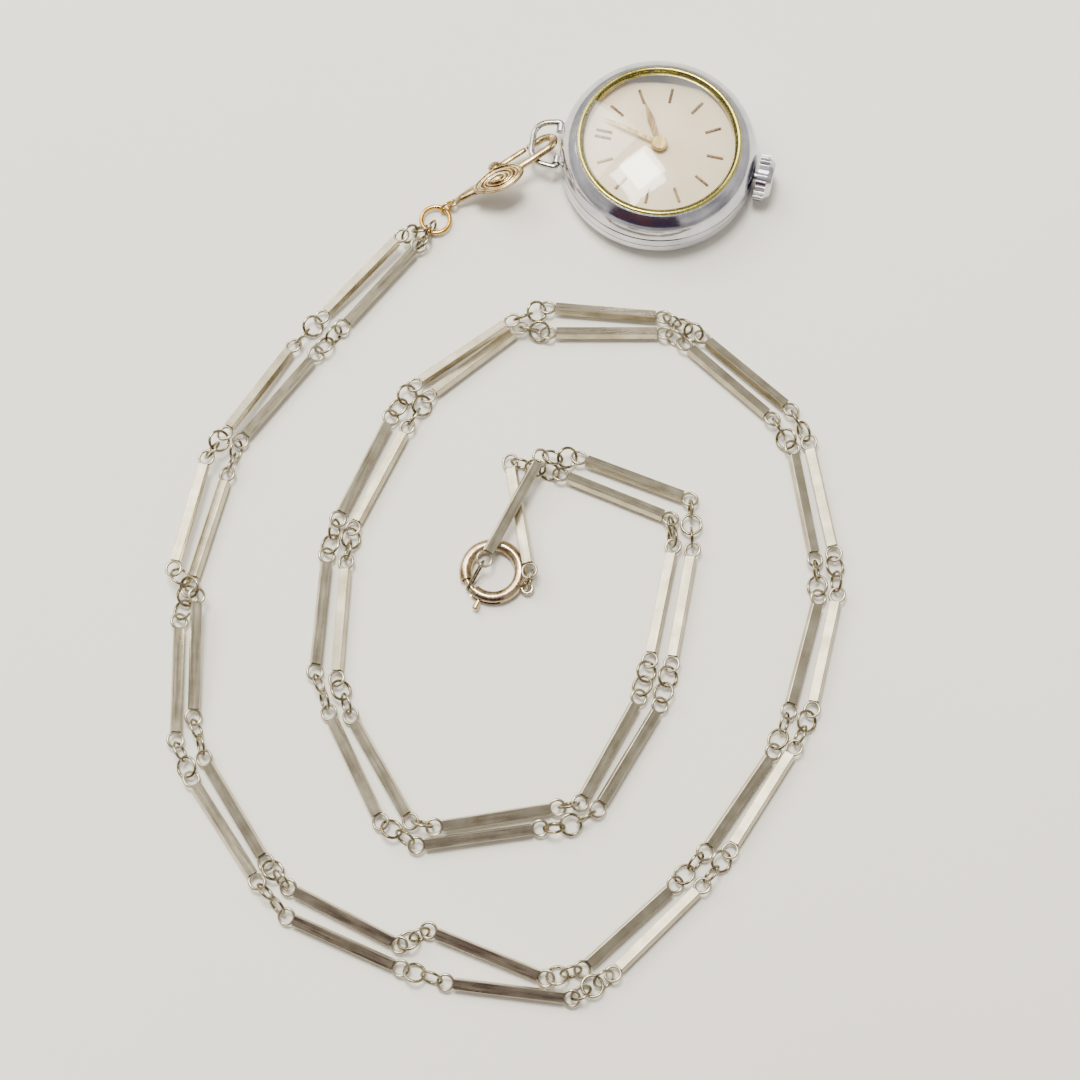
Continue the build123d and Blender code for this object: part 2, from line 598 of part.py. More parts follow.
def train_arbor(centre, wheel, pinion, pinion_phase, wheel_z, pinion_z, rim):
    """Add a wheel with crossings, its pinion and its arbor with a pivot at each end."""
    rod(centre, 0.2, TRAIN_BRIDGE_Z[1] + 0.06, PLATE_Z - 0.05)
    rod(centre, PIVOT_R, TRAIN_BRIDGE_Z[0] + 0.05, PLATE_Z + 0.3)
    toothed_layer(wheel, centre, 0, wheel_z, 0.2)
    spoke_openings(centre, 0.7, rim, 4, 0.3, wheel_z, wheel_z + 0.2)
    toothed_layer(pinion, centre, pinion_phase, *pinion_z)


with BuildPart() as third_wheel:
    train_arbor(THIRD, THIRD_TEETH, THIRD_PINION, third_phase, 2.6, (1.95, 0.4), 2.35)
third_wheel.part.label = "third_wheel"
export_step(third_wheel.part, "parts/third_wheel.step")

with BuildPart() as fourth_wheel:
    train_arbor(FOURTH, FOURTH_TEETH, FOURTH_PINION, fourth_phase, 3.15, (2.5, 0.4), 2.15)
fourth_wheel.part.label = "fourth_wheel"
export_step(fourth_wheel.part, "parts/fourth_wheel.step")

with BuildPart() as escape_wheel:
    rod(ESCAPE, 0.18, TRAIN_BRIDGE_Z[1] + 0.06, PLATE_Z - 0.05)
    rod(ESCAPE, PIVOT_R, TRAIN_BRIDGE_Z[0] + 0.05, PLATE_Z + 0.3)
    toothed_layer(ESCAPE_PINION, ESCAPE, escape_phase, 3.05, 0.4)
    with BuildSketch(Plane.XY.offset(2.46)):
        with BuildLine():
            teeth_line = []
            for n in range(ESCAPE_COUNT):
                at = n * 360 / ESCAPE_COUNT
                teeth_line.append(polar(ESCAPE, ESCAPE_R - 0.42, at))
                teeth_line.append(polar(ESCAPE, ESCAPE_R, at + 9))
                teeth_line.append(polar(ESCAPE, ESCAPE_R - 0.04, at + 12))
                teeth_line.append(polar(ESCAPE, ESCAPE_R - 0.42, at + 6))
            Polyline(*teeth_line, close=True)
        make_face()
    extrude(amount=0.12)
    spoke_openings(ESCAPE, 0.4, 0.95, 4, 0.16, 2.46, 2.58)
escape_wheel.part.label = "escape_wheel"
export_step(escape_wheel.part, "parts/escape_wheel.step")

# the pallet lever: two stones over the escape wheel and a fork at the balance
TO_ESCAPE = direction(PALLET, ESCAPE)
TO_BALANCE = direction(PALLET, BALANCE)
LEVER = 1.62
with BuildPart() as pallet_fork:
    rod(PALLET, PIVOT_R, PALLET_BRIDGE_Z[0] + 0.05, PLATE_Z + 0.3)
    rod(PALLET, 0.2, 2.36, 3.0)
    with BuildSketch(Plane.XY.offset(2.44)):
        with Locations(PALLET):
            Circle(0.3)
        for side in (-1, 1):
            with Locations(Location((*PALLET, 0), (0, 0, TO_ESCAPE + side * 62))):
                Rectangle(1.02, 0.2, align=(Align.MIN, Align.CENTER))
            stone = polar(PALLET, 0.95, TO_ESCAPE + side * 62)
            with Locations(Location((*stone, 0), (0, 0, TO_ESCAPE + side * 8))):
                Rectangle(0.3, 0.16, align=(Align.MIN, Align.CENTER))
        with Locations(Location((*PALLET, 0), (0, 0, TO_BALANCE))):
            Rectangle(LEVER - 0.3, 0.16, align=(Align.MIN, Align.CENTER))
        with Locations(Location((*polar(PALLET, LEVER - 0.3, TO_BALANCE), 0), (0, 0, TO_BALANCE))):
            Rectangle(0.16, 0.62, align=(Align.CENTER, Align.CENTER))
        for side in (-1, 1):
            corner = polar(polar(PALLET, LEVER - 0.3, TO_BALANCE), 0.25 * side, TO_BALANCE + 90)
            with Locations(Location((*corner, 0), (0, 0, TO_BALANCE))):
                Rectangle(0.36, 0.12, align=(Align.MIN, Align.CENTER))
    extrude(amount=0.18)
pallet_fork.part.label = "pallet_fork"
export_step(pallet_fork.part, "parts/pallet_fork.step")

RIM_Z = (1.58, 1.98)
with BuildPart() as balance_wheel:
    rod(BALANCE, PIVOT_R, COCK_Z[0] + 0.05, PLATE_Z + 0.3)
    rod(BALANCE, 0.2, COCK_Z[1] + 0.08, PLATE_Z - 0.05)
    rod(BALANCE, BALANCE_R, *RIM_Z)
    spoke_openings(BALANCE, 0.5, BALANCE_R - 0.32, 3, 0.3, *RIM_Z)
    rod(BALANCE, 0.6, 2.1, 2.22)
    rod(polar(BALANCE, 0.42, TO_BALANCE + 180), 0.07, 2.22, 2.62)
balance_wheel.part.label = "balance_wheel"
export_step(balance_wheel.part, "parts/balance_wheel.step")

HAIRSPRING_TURNS = 9
with BuildPart() as hairspring:
    with BuildSketch(Plane.XY.offset(1.24)):
        with BuildLine():
            steps = 24 * HAIRSPRING_TURNS
            inner = [polar(BALANCE, 0.3 + 1.4 * k / steps, 15 * k) for k in range(steps + 1)]
            outer = [polar(BALANCE, 0.35 + 1.4 * k / steps, 15 * k) for k in range(steps, -1, -1)]
            Polyline(*inner, *outer, close=True)
        make_face()
        with Locations(polar(BALANCE, 1.78, 0)):
            Circle(0.14)
    extrude(amount=0.14)
hairspring.part.label = "hairspring"
export_step(hairspring.part, "parts/hairspring.step")

# ---------------------------------------------------------------- motion works under the dial
minute_phase = meshing_phase(CENTRE, CANNON_TEETH, 0, MINUTE_WHEEL, MINUTE_TEETH)
hour_phase = meshing_phase(MINUTE_WHEEL, MINUTE_PINION, 0, CENTRE, HOUR_TEETH)
setting_phase = meshing_phase(MINUTE_WHEEL, MINUTE_TEETH, minute_phase, SETTING_WHEEL, SETTING_TEETH)

with BuildPart() as cannon_pinion:
    toothed_layer(CANNON_TEETH, CENTRE, 0, 4.76, 0.24)
    rod(CENTRE, CANNON_TUBE_R, 5.0, 6.66)
    rod(CENTRE, 0.28, 4.7, 6.62, mode=Mode.SUBTRACT)
cannon_pinion.part.label = "cannon_pinion"
export_step(cannon_pinion.part, "parts/cannon_pinion.step")

with BuildPart() as minute_wheel:
    toothed_layer(MINUTE_TEETH, MINUTE_WHEEL, minute_phase, 4.78, 0.16)
    toothed_layer(MINUTE_PINION, MINUTE_WHEEL, 0, 4.94, 0.38)
    rod(MINUTE_WHEEL, 0.2, 4.7, 5.4, mode=Mode.SUBTRACT)
minute_wheel.part.label = "minute_wheel"
export_step(minute_wheel.part, "parts/minute_wheel.step")

with BuildPart() as hour_wheel:
    toothed_layer(HOUR_TEETH, CENTRE, hour_phase, 5.08, 0.18)
    rod(CENTRE, HOUR_TUBE_OUT, 5.08, 6.19)
    rod(CENTRE, HOUR_TUBE_IN, 5.0, 6.3, mode=Mode.SUBTRACT)
hour_wheel.part.label = "hour_wheel"
export_step(hour_wheel.part, "parts/hour_wheel.step")

with BuildPart() as setting_wheel:
    toothed_layer(SETTING_TEETH, SETTING_WHEEL, setting_phase, 3.86, 1.08)
setting_wheel.part.label = "setting_wheel"
export_step(setting_wheel.part, "parts/setting_wheel.step")

# ---------------------------------------------------------------- winding and setting
ratchet_phase = meshing_phase(CROWN_WHEEL, CROWN_WHEEL_TEETH, 0, BARREL, RATCHET_TEETH)
with BuildPart() as crown_wheel:
    toothed_layer(CROWN_WHEEL_TEETH, CROWN_WHEEL, 0, 1.5, 0.3)
    rod(CROWN_WHEEL, 0.2, 1.8, 2.08)
crown_wheel.part.label = "crown_wheel"
export_step(crown_wheel.part, "parts/crown_wheel.step")

with BuildPart() as ratchet_wheel:
    toothed_layer(RATCHET_TEETH, BARREL, ratchet_phase, 1.5, 0.3)
    with BuildSketch(Plane.XY.offset(1.5)):
        with Locations(BARREL):
            Rectangle(0.5, 0.5)
    extrude(amount=0.3, mode=Mode.SUBTRACT)
ratchet_wheel.part.label = "ratchet_wheel"
export_step(ratchet_wheel.part, "parts/ratchet_wheel.step")

CLICK = (-6.95, -3.1)
RATCHET_TIP_R = pitch_radius(RATCHET_TEETH) + 0.105
with BuildPart() as click:
    with BuildSketch(Plane.XY.offset(1.52)):
        with Locations(CLICK):
            Circle(0.45)
        with BuildLine():
            beak = polar(BARREL, RATCHET_TIP_R - 0.03, 150)
            Polyline((CLICK[0] - 0.4, CLICK[1]), beak, (CLICK[0] + 0.4, CLICK[1] + 0.1),
                     (CLICK[0] - 0.4, CLICK[1]))
        make_face()
    extrude(amount=0.26)
    rod(CLICK, 0.2, 1.78, 1.88)
click.part.label = "click"
export_step(click.part, "parts/click.step")

STEM_PLANE_Y = CROWN_RIM_Y + 0.35
with BuildPart() as winding_stem:
    with BuildSketch(Plane(origin=(0, STEM_PLANE_Y, CROWN_Z), x_dir=(1, 0, 0), z_dir=(0, 1, 0))):
        Circle(STEM_R)
    extrude(amount=-8.3 - STEM_PLANE_Y)
    with BuildSketch(Plane(origin=(0, -8.3, CROWN_Z), x_dir=(1, 0, 0), z_dir=(0, 1, 0))):
        Rectangle(0.5, 0.5)
    extrude(amount=2.9)
    # groove for the setting lever
    with BuildSketch(Plane(origin=(0, -9.1, CROWN_Z), x_dir=(1, 0, 0), z_dir=(0, 1, 0))):
        Circle(STEM_R)
        Circle(0.25, mode=Mode.SUBTRACT)
    extrude(amount=0.5, mode=Mode.SUBTRACT)
winding_stem.part.label = "winding_stem"
export_step(winding_stem.part, "parts/winding_stem.step")

with BuildPart() as crown_tube:
    with BuildSketch(Plane(origin=(0, -10.5, CROWN_Z), x_dir=(1, 0, 0), z_dir=(0, -1, 0))):
        Circle(TUBE_R)
        Circle(STEM_R + 0.06, mode=Mode.SUBTRACT)
    extrude(amount=2.3)
crown_tube.part.label = "crown_tube"
export_step(crown_tube.part, "parts/crown_tube.step")

with BuildPart() as crown:
    crown_face = Plane(origin=(0, CROWN_IN_Y, CROWN_Z), x_dir=(1, 0, 0), z_dir=(0, -1, 0))
    with BuildSketch(crown_face):
        Circle(CROWN_R)
        with PolarLocations(CROWN_R + 0.06, CROWN_FLUTES):
            Circle(0.2, mode=Mode.SUBTRACT)
    extrude(amount=CROWN_IN_Y - CROWN_RIM_Y)
    with BuildSketch(crown_face.offset(CROWN_IN_Y - CROWN_RIM_Y)):
        Circle(CROWN_R - 0.22)
    extrude(amount=CROWN_RIM_Y - CROWN_CAP_Y, taper=40)
    cap_edge = crown.edges().filter_by(GeomType.CIRCLE).sort_by(Axis.Y)[0]
    fillet(cap_edge, 0.4)
    # recess over the tube, and the tapped hole that holds the stem
    with BuildSketch(crown_face):
        Circle(TUBE_R + 0.2)
    extrude(amount=0.75, mode=Mode.SUBTRACT)
    with BuildSketch(crown_face):
        Circle(STEM_R)
    extrude(amount=CROWN_IN_Y - STEM_PLANE_Y, mode=Mode.SUBTRACT)
crown.part.label = "crown"
export_step(crown.part, "parts/crown.step")


def stem_pinion(start_y, length):
    """Add a pinion with a square hole, standing on the stem from start_y inwards."""
    face = Plane(origin=(0, start_y, CROWN_Z), x_dir=(1, 0, 0), z_dir=(0, 1, 0))
    with BuildSketch(face) as profile:
        with BuildLine():
            Polyline(*gear_outline(WINDING_TEETH, (0, 0), 90), close=True)
        make_face()
        Rectangle(0.58, 0.58, mode=Mode.SUBTRACT)
    extrude(profile.sketch, amount=length)


with BuildPart() as winding_pinion:
    stem_pinion(-8.2, 0.7)
winding_pinion.part.label = "winding_pinion"
export_step(winding_pinion.part, "parts/winding_pinion.step")

SLIDING_R = 0.8
with BuildPart() as sliding_pinion:
    slide_face = Plane(origin=(0, -7.42, CROWN_Z), x_dir=(1, 0, 0), z_dir=(0, 1, 0))
    with BuildSketch(slide_face):
        Circle(SLIDING_R)
        Rectangle(0.58, 0.58, mode=Mode.SUBTRACT)
    extrude(amount=1.22)
    with BuildSketch(slide_face.offset(0.4)):
        Circle(SLIDING_R)
        Circle(0.52, mode=Mode.SUBTRACT)
    extrude(amount=0.36, mode=Mode.SUBTRACT)
sliding_pinion.part.label = "sliding_pinion"
export_step(sliding_pinion.part, "parts/sliding_pinion.step")

LEVER_Z = 2.9
SETTING_PIVOT = (2.4, -8.3)
YOKE_PIVOT = (3.1, -6.6)
with BuildPart() as setting_lever:
    with BuildSketch(Plane.XY.offset(LEVER_Z)):
        with Locations(SETTING_PIVOT):
            Circle(0.42)
        with BuildLine():
            Polyline((0.32, -8.98), (0.32, -8.78), (SETTING_PIVOT[0], SETTING_PIVOT[1] + 0.35),
                     (SETTING_PIVOT[0], SETTING_PIVOT[1] - 0.35), (0.32, -8.98))
        make_face()
    extrude(amount=0.2)
    rod(SETTING_PIVOT, 0.2, LEVER_Z + 0.2, PLATE_Z)
setting_lever.part.label = "setting_lever"
export_step(setting_lever.part, "parts/setting_lever.step")

with BuildPart() as yoke:
    with BuildSketch(Plane.XY.offset(LEVER_Z)):
        with Locations(YOKE_PIVOT):
            Circle(0.42)
        with BuildLine():
            Polyline((0.58, -6.92), (0.58, -6.76), (YOKE_PIVOT[0], YOKE_PIVOT[1] + 0.3),
                     (YOKE_PIVOT[0], YOKE_PIVOT[1] - 0.3), (0.58, -6.92))
        make_face()
    extrude(amount=0.2)
    rod(YOKE_PIVOT, 0.2, LEVER_Z + 0.2, PLATE_Z)
yoke.part.label = "yoke"
export_step(yoke.part, "parts/yoke.step")

# ---------------------------------------------------------------- bow
with BuildPart() as bow:
    flat = Plane(origin=bow_frame.from_local_coords(Vector(0, BOW_HINGE_R, 0)), x_dir=bow_frame.x_dir,
                 z_dir=(0, 0, 1))
    with BuildLine(flat) as bow_line:
        FilletPolyline((2.0, 0), (BOW_HALF, 0), (BOW_HALF - 0.5, BOW_RISE), (0.5 - BOW_HALF, BOW_RISE),
                       (-BOW_HALF, 0), (-2.0, 0), radius=[0.45, 2.0, 2.0, 0.45])
    with BuildSketch(Plane(origin=bow_line.line @ 0, z_dir=bow_line.line % 0)):
        Circle(BOW_WIRE_R)
    sweep()
bow.part.label = "bow"
export_step(bow.part, "parts/bow.step")

# ---------------------------------------------------------------- lobster clasp
nose = Vector(cos(radians(CLASP_HEADING)) * cos(radians(CLASP_PITCH)),
              sin(radians(CLASP_HEADING)) * cos(radians(CLASP_PITCH)), sin(radians(CLASP_PITCH)))
level_side = Vector(0, 0, 1).cross(nose).normalized()
upright = nose.cross(level_side)
gate_side = level_side * cos(radians(CLASP_TILT)) - upright * sin(radians(CLASP_TILT))
CLASP_PLANE = Plane(origin=CLASP_AT, x_dir=nose, z_dir=nose.cross(gate_side))
HOOK_CENTRE_X = 1.3
HOOK_TIP_X = -0.42
ARM_Y = HOOK_R - HOOK_WIDTH / 2
GATE_HINGE = (-5.0, 1.6)
with BuildPart() as clasp_body:
    # frame outline: hook and nose, arm, tapering shoulder and tail
    with BuildSketch(CLASP_PLANE.offset(-CLASP_THICK / 2)):
        with BuildLine():
            ThreePointArc((HOOK_CENTRE_X, HOOK_R), (HOOK_CENTRE_X + HOOK_R, 0), (HOOK_CENTRE_X, -HOOK_R))
            Polyline((HOOK_CENTRE_X, -HOOK_R), (-5.5, -HOOK_R), (-8.6, -0.9), (-11.15, -0.42),
                     (-11.15, 0.42), (-8.4, 0.95), (-6.4, 1.9), (-4.6, 0.6), (-3.8, -0.2),
                     (-3.1, HOOK_WIDTH - HOOK_R), (HOOK_CENTRE_X, HOOK_WIDTH - HOOK_R))
            ThreePointArc((HOOK_CENTRE_X, HOOK_WIDTH - HOOK_R),
                          (HOOK_CENTRE_X + HOOK_R - HOOK_WIDTH, 0), (HOOK_CENTRE_X, HOOK_R - HOOK_WIDTH))
            Polyline((HOOK_CENTRE_X, HOOK_R - HOOK_WIDTH), (HOOK_TIP_X, HOOK_R - HOOK_WIDTH),
                     (HOOK_TIP_X, HOOK_R), (HOOK_CENTRE_X, HOOK_R))
        make_face()
    extrude(amount=CLASP_THICK)
    # teardrop cheek on the outer side of the shoulder
    with BuildSketch(CLASP_PLANE.offset(0.15)):
        with BuildLine():
            ThreePointArc((-4.5, -0.5), (-2.7, -2.35), (-4.8, -3.8))
            ThreePointArc((-4.8, -3.8), (-7.6, -3.3), (-9.6, -1.3))
            ThreePointArc((-9.6, -1.3), (-7.2, -0.55), (-4.5, -0.5))
        make_face()
    extrude(amount=0.55)
    # tail eye
    with BuildSketch(CLASP_PLANE.offset(-0.2)):
        with Locations((-CLASP_TAIL, 0)):
            Circle(0.75)
    extrude(amount=0.4)
    with BuildSketch(CLASP_PLANE.offset(-1)):
        with Locations((-CLASP_TAIL, 0)):
            Circle(0.45)
    extrude(amount=2.0, mode=Mode.SUBTRACT)
    # bore for the gate's pin and the slot that takes the gate's barrel
    with BuildSketch(CLASP_PLANE.offset(-1)):
        with Locations(GATE_HINGE):
            Circle(0.95)
    extrude(amount=2.0, mode=Mode.SUBTRACT)
    for side in (-1, 1):
        with BuildSketch(CLASP_PLANE.offset(side * 0.46 - 0.16)):
            with Locations(GATE_HINGE):
                Circle(0.9)
            with Locations((GATE_HINGE[0] - 0.8, GATE_HINGE[1] - 0.6)):
                Rectangle(1.6, 1.0)
        extrude(amount=0.32)
    with BuildSketch(CLASP_PLANE.offset(-1)):
        with Locations(GATE_HINGE):
            Circle(0.25)
    extrude(amount=2.0, mode=Mode.SUBTRACT)
clasp_body.part.label = "clasp_body"
export_step(clasp_body.part, "parts/clasp_body.step")

GATE_THICK = 0.56
with BuildPart() as clasp_gate:
    with BuildSketch(CLASP_PLANE.offset(-GATE_THICK / 2)):
        with Locations(GATE_HINGE):
            Circle(0.8)
        with BuildLine():
            Polyline((GATE_HINGE[0] + 0.2, GATE_HINGE[1] + 0.5), (HOOK_TIP_X - 0.08, ARM_Y + 0.3),
                     (HOOK_TIP_X - 0.08, ARM_Y - 0.28),
                     (GATE_HINGE[0] + 0.5, GATE_HINGE[1] - 0.5), (GATE_HINGE[0] + 0.2, GATE_HINGE[1] + 0.5))
        make_face()
        with Locations(GATE_HINGE):
            Circle(0.28, mode=Mode.SUBTRACT)
    extrude(amount=GATE_THICK)
    # room for the spring round the pin
    with BuildSketch(CLASP_PLANE.offset(-0.12)):
        with Locations(GATE_HINGE):
            Circle(0.52)
    extrude(amount=0.24, mode=Mode.SUBTRACT)
clasp_gate.part.label = "clasp_gate"
export_step(clasp_gate.part, "parts/clasp_gate.step")

with BuildPart() as clasp_rivet:
    with BuildSketch(CLASP_PLANE.offset(-0.7)):
        with Locations(GATE_HINGE):
            Circle(0.25)
    extrude(amount=1.4)
clasp_rivet.part.label = "clasp_rivet"
export_step(clasp_rivet.part, "parts/clasp_rivet.step")

with BuildPart() as clasp_spring:
    spring_seat = Plane(origin=CLASP_PLANE.from_local_coords(Vector(*GATE_HINGE, 0)),
                        x_dir=CLASP_PLANE.x_dir, z_dir=CLASP_PLANE.z_dir)
    with Locations(spring_seat.location):
        Torus(0.39, 0.08)
clasp_spring.part.label = "clasp_spring"
export_step(clasp_spring.part, "parts/clasp_spring.step")

with BuildPart() as clasp_ring:
    upright_ring = Plane(origin=CLASP_RING_AT, x_dir=(0, 0, 1), z_dir=level_side)
    with Locations(upright_ring.location):
        Torus(CLASP_RING_R, CLASP_RING_WIRE)
clasp_ring.part.label = "clasp_ring"
export_step(clasp_ring.part, "parts/clasp_ring.step")

with BuildPart() as jump_ring:
    with Locations(JUMP_RING_AT):
        Torus(JUMP_RING_R, JUMP_RING_WIRE)
jump_ring.part.label = "jump_ring"
export_step(jump_ring.part, "parts/jump_ring.step")


# ---------------------------------------------------------------- chain
def line_frame(along):
    """Unit vectors along a line, level across it, and up from it."""
    along = along.normalized()
    across = Vector(0, 0, 1).cross(along).normalized()
    return along, across, along.cross(across)


def bar_plane(bar, lift):
    """Plane in the middle of a bar: x along the bar, z out of its broad face."""
    x, y, heading, roll = bar
    low, high = lift
    pitch = asin((high - low) / EYE_SPACING)
    along, across, up = line_frame(Vector(cos(radians(heading)) * cos(pitch),
                                          sin(radians(heading)) * cos(pitch), sin(pitch)))
    face = up * cos(radians(roll)) - across * sin(radians(roll))
    return Plane(origin=(x, y, (low + high) / 2), x_dir=along, z_dir=face)


def ring_plane(centre, along, angle):
    """Plane of a wire ring whose normal leans from upright by an angle about the chain's line."""
    _, across, up = line_frame(along)
    lean = radians(angle)
    lowest = RING_R * abs(sin(lean)) + WIRE_R + TABLE_GAP
    height = max(centre.Z, lowest)
    return Plane(origin=(centre.X, centre.Y, height), z_dir=up * cos(lean) + across * sin(lean))


def gap_rings(start, end, roll_before, roll_after, bulge):
    """Planes of the one, two or three rings that join two eyes."""
    gap = end - start
    reach = gap.length + 8 * bulge ** 2 / (3 * gap.length)
    middle = (roll_before + roll_after) / 2
    if reach < ONE_RING_GAP:
        rings = [(0.5, 90 - middle)]
    elif reach < TWO_RING_GAP:
        rings = [(0.31, 50 - roll_before), (0.69, -50 - roll_after)]
    else:
        rings = [(0.22, 75 - roll_before), (0.5, -middle), (0.78, -75 - roll_after)]
    _, across, _ = line_frame(gap)
    planes = []
    for share, angle in rings:
        centre = start + gap * share + across * (bulge * 4 * share * (1 - share))
        along = gap + across * (bulge * 4 * (1 - 2 * share))
        planes.append(ring_plane(centre, along, angle))
    return planes


def strand_planes(strand, lifts, bulges):
    """Planes of a strand's bars and of the rings between them."""
    bars = [bar_plane(bar, lifts.get(n, (CHAIN_Z, CHAIN_Z))) for n, bar in enumerate(strand, 1)]
    rings = []
    for n in range(1, len(bars)):
        before, after = bars[n - 1], bars[n]
        start = before.origin + before.x_dir * (EYE_SPACING / 2)
        end = after.origin - after.x_dir * (EYE_SPACING / 2)
        rings += gap_rings(start, end, strand[n - 1][3], strand[n][3], bulges.get(n, 0))
    return bars, rings


def start_rings(bar, places):
    """Planes of the rings that join a strand's first eye to the jump ring."""
    eye = bar.origin - bar.x_dir * (EYE_SPACING / 2)
    hub = Vector(*JUMP_RING_AT)
    wire = hub + Vector(eye.X - hub.X, eye.Y - hub.Y, 0).normalized() * JUMP_RING_R
    line, across, _ = line_frame(eye - wire)
    return [ring_plane(wire + line * step + across * side, line, angle) for step, side, angle in places]


bars_a, rings_a = strand_planes(STRAND_A, LIFTS_A, BULGES_A)
bars_b, rings_b = strand_planes(STRAND_B, LIFTS_B, BULGES_B)
rings_a += start_rings(bars_a[0], START_A)
rings_b += start_rings(bars_b[0], START_B)

with BuildPart() as bar_link:
    Box(BAR_LENGTH, BAR_WIDTH, BAR_THICK)
    chamfer(bar_link.edges().filter_by(Axis.X), 0.06)
    with Locations((-EYE_SPACING / 2, 0, 0), (EYE_SPACING / 2, 0, 0)):
        Torus(EYE_R, WIRE_R)

with BuildPart() as chain_bars_a:
    with Locations(*[plane.location for plane in bars_a]):
        add(bar_link.part)
chain_bars_a.part.label = "chain_bars_a"
export_step(chain_bars_a.part, "parts/chain_bars_a.step")

with BuildPart() as chain_bars_b:
    with Locations(*[plane.location for plane in bars_b]):
        add(bar_link.part)
chain_bars_b.part.label = "chain_bars_b"
export_step(chain_bars_b.part, "parts/chain_bars_b.step")

with BuildPart() as chain_rings_a:
    with Locations(*[plane.location for plane in rings_a]):
        Torus(RING_R, WIRE_R)
chain_rings_a.part.label = "chain_rings_a"
export_step(chain_rings_a.part, "parts/chain_rings_a.step")

with BuildPart() as chain_rings_b:
    with Locations(*[plane.location for plane in rings_b]):
        Torus(RING_R, WIRE_R)
chain_rings_b.part.label = "chain_rings_b"
export_step(chain_rings_b.part, "parts/chain_rings_b.step")

# ---------------------------------------------------------------- spring ring clasp
ring_centre = Vector(*SPRING_RING_AT)


def on_ring(angle, radius=SPRING_RING_R):
    """A point at an angle round the spring ring."""
    return ring_centre + Vector(radius, 0, 0).rotate(Axis.Z, angle)


def ring_section(angle):
    """Plane across the ring's tube at an angle, its normal along the tube."""
    return Plane(origin=on_ring(angle), x_dir=(0, 0, 1),
                 z_dir=Vector(0, 1, 0).rotate(Axis.Z, angle))


RING_AXIS = Axis(origin=SPRING_RING_AT, direction=(0, 0, 1))
KNOB_SLOT_END = 186.0
with BuildPart() as spring_ring_body:
    with BuildSketch(ring_section(GAP_END)):
        Circle(SPRING_TUBE_R)
    revolve(axis=RING_AXIS, revolution_arc=360 - (GAP_END - GAP_START))
    with BuildSketch(ring_section(GAP_END)):
        Circle(SPRING_BORE_R)
    revolve(axis=RING_AXIS, revolution_arc=94, mode=Mode.SUBTRACT)
    with BuildSketch(ring_section(GAP_START)):
        Circle(SPRING_BORE_R)
    revolve(axis=RING_AXIS, revolution_arc=-14, mode=Mode.SUBTRACT)
    # slot for the knob, through the outer wall
    with BuildSketch(ring_section(GAP_END)):
        with Locations((0, SPRING_TUBE_R)):
            Rectangle(0.62, 2 * SPRING_TUBE_R)
    revolve(axis=RING_AXIS, revolution_arc=KNOB_SLOT_END + 20 - GAP_END, mode=Mode.SUBTRACT)
    with Locations(on_ring(TAIL_ANGLE, TAIL_EYE_OUT)):
        Torus(TAIL_EYE_R, TAIL_WIRE_R)
spring_ring_body.part.label = "spring_ring_body"
export_step(spring_ring_body.part, "parts/spring_ring_body.step")

KNOB_ANGLE = 168.0
BOLT_START = GAP_START - 8
BOLT_END = 180.0
with BuildPart() as spring_ring_bolt:
    with BuildSketch(ring_section(BOLT_START)):
        Circle(BOLT_R)
    revolve(axis=RING_AXIS, revolution_arc=BOLT_END - BOLT_START)
    knob_out = Vector(1, 0, 0).rotate(Axis.Z, KNOB_ANGLE)
    with BuildSketch(Plane(origin=on_ring(KNOB_ANGLE), z_dir=knob_out)):
        Circle(0.22)
    extrude(amount=1.6)
    with BuildSketch(Plane(origin=on_ring(KNOB_ANGLE, SPRING_RING_R + 1.0), z_dir=knob_out)):
        Circle(0.36)
    extrude(amount=0.9)
    fillet(spring_ring_bolt.edges().filter_by(GeomType.CIRCLE).sort_by(Axis.X)[0], 0.2)
spring_ring_bolt.part.label = "spring_ring_bolt"
export_step(spring_ring_bolt.part, "parts/spring_ring_bolt.step")

with BuildPart() as spring_ring_spring:
    with BuildSketch(ring_section(218)):
        Circle(0.38)
        Circle(0.22, mode=Mode.SUBTRACT)
    revolve(axis=RING_AXIS, revolution_arc=25)
spring_ring_spring.part.label = "spring_ring_spring"
export_step(spring_ring_spring.part, "parts/spring_ring_spring.step")

# narrow link that holds the last eye of strand b on the bolt
last_b = bars_b[-1]
bolt_point = on_ring((GAP_START + GAP_END) / 2)
eye_point = last_b.origin + last_b.x_dir * (EYE_SPACING / 2 + EYE_R)
LINK_HALF = 0.56
LINK_WIRE_R = 0.15
with BuildPart() as oval_link:
    run = bolt_point - eye_point
    link_along, link_across, _ = line_frame(run)
    link_plane = Plane(origin=eye_point, x_dir=link_along, z_dir=link_across)
    with BuildLine(link_plane) as link_line:
        Line((0, LINK_HALF), (run.length, LINK_HALF))
        ThreePointArc((run.length, LINK_HALF), (run.length + LINK_HALF, 0), (run.length, -LINK_HALF))
        Line((run.length, -LINK_HALF), (0, -LINK_HALF))
        ThreePointArc((0, -LINK_HALF), (-LINK_HALF, 0), (0, LINK_HALF))
    with BuildSketch(Plane(origin=link_line.line @ 0, z_dir=link_line.line % 0)):
        Circle(LINK_WIRE_R)
    sweep()
oval_link.part.label = "oval_link"
export_step(oval_link.part, "parts/oval_link.step")

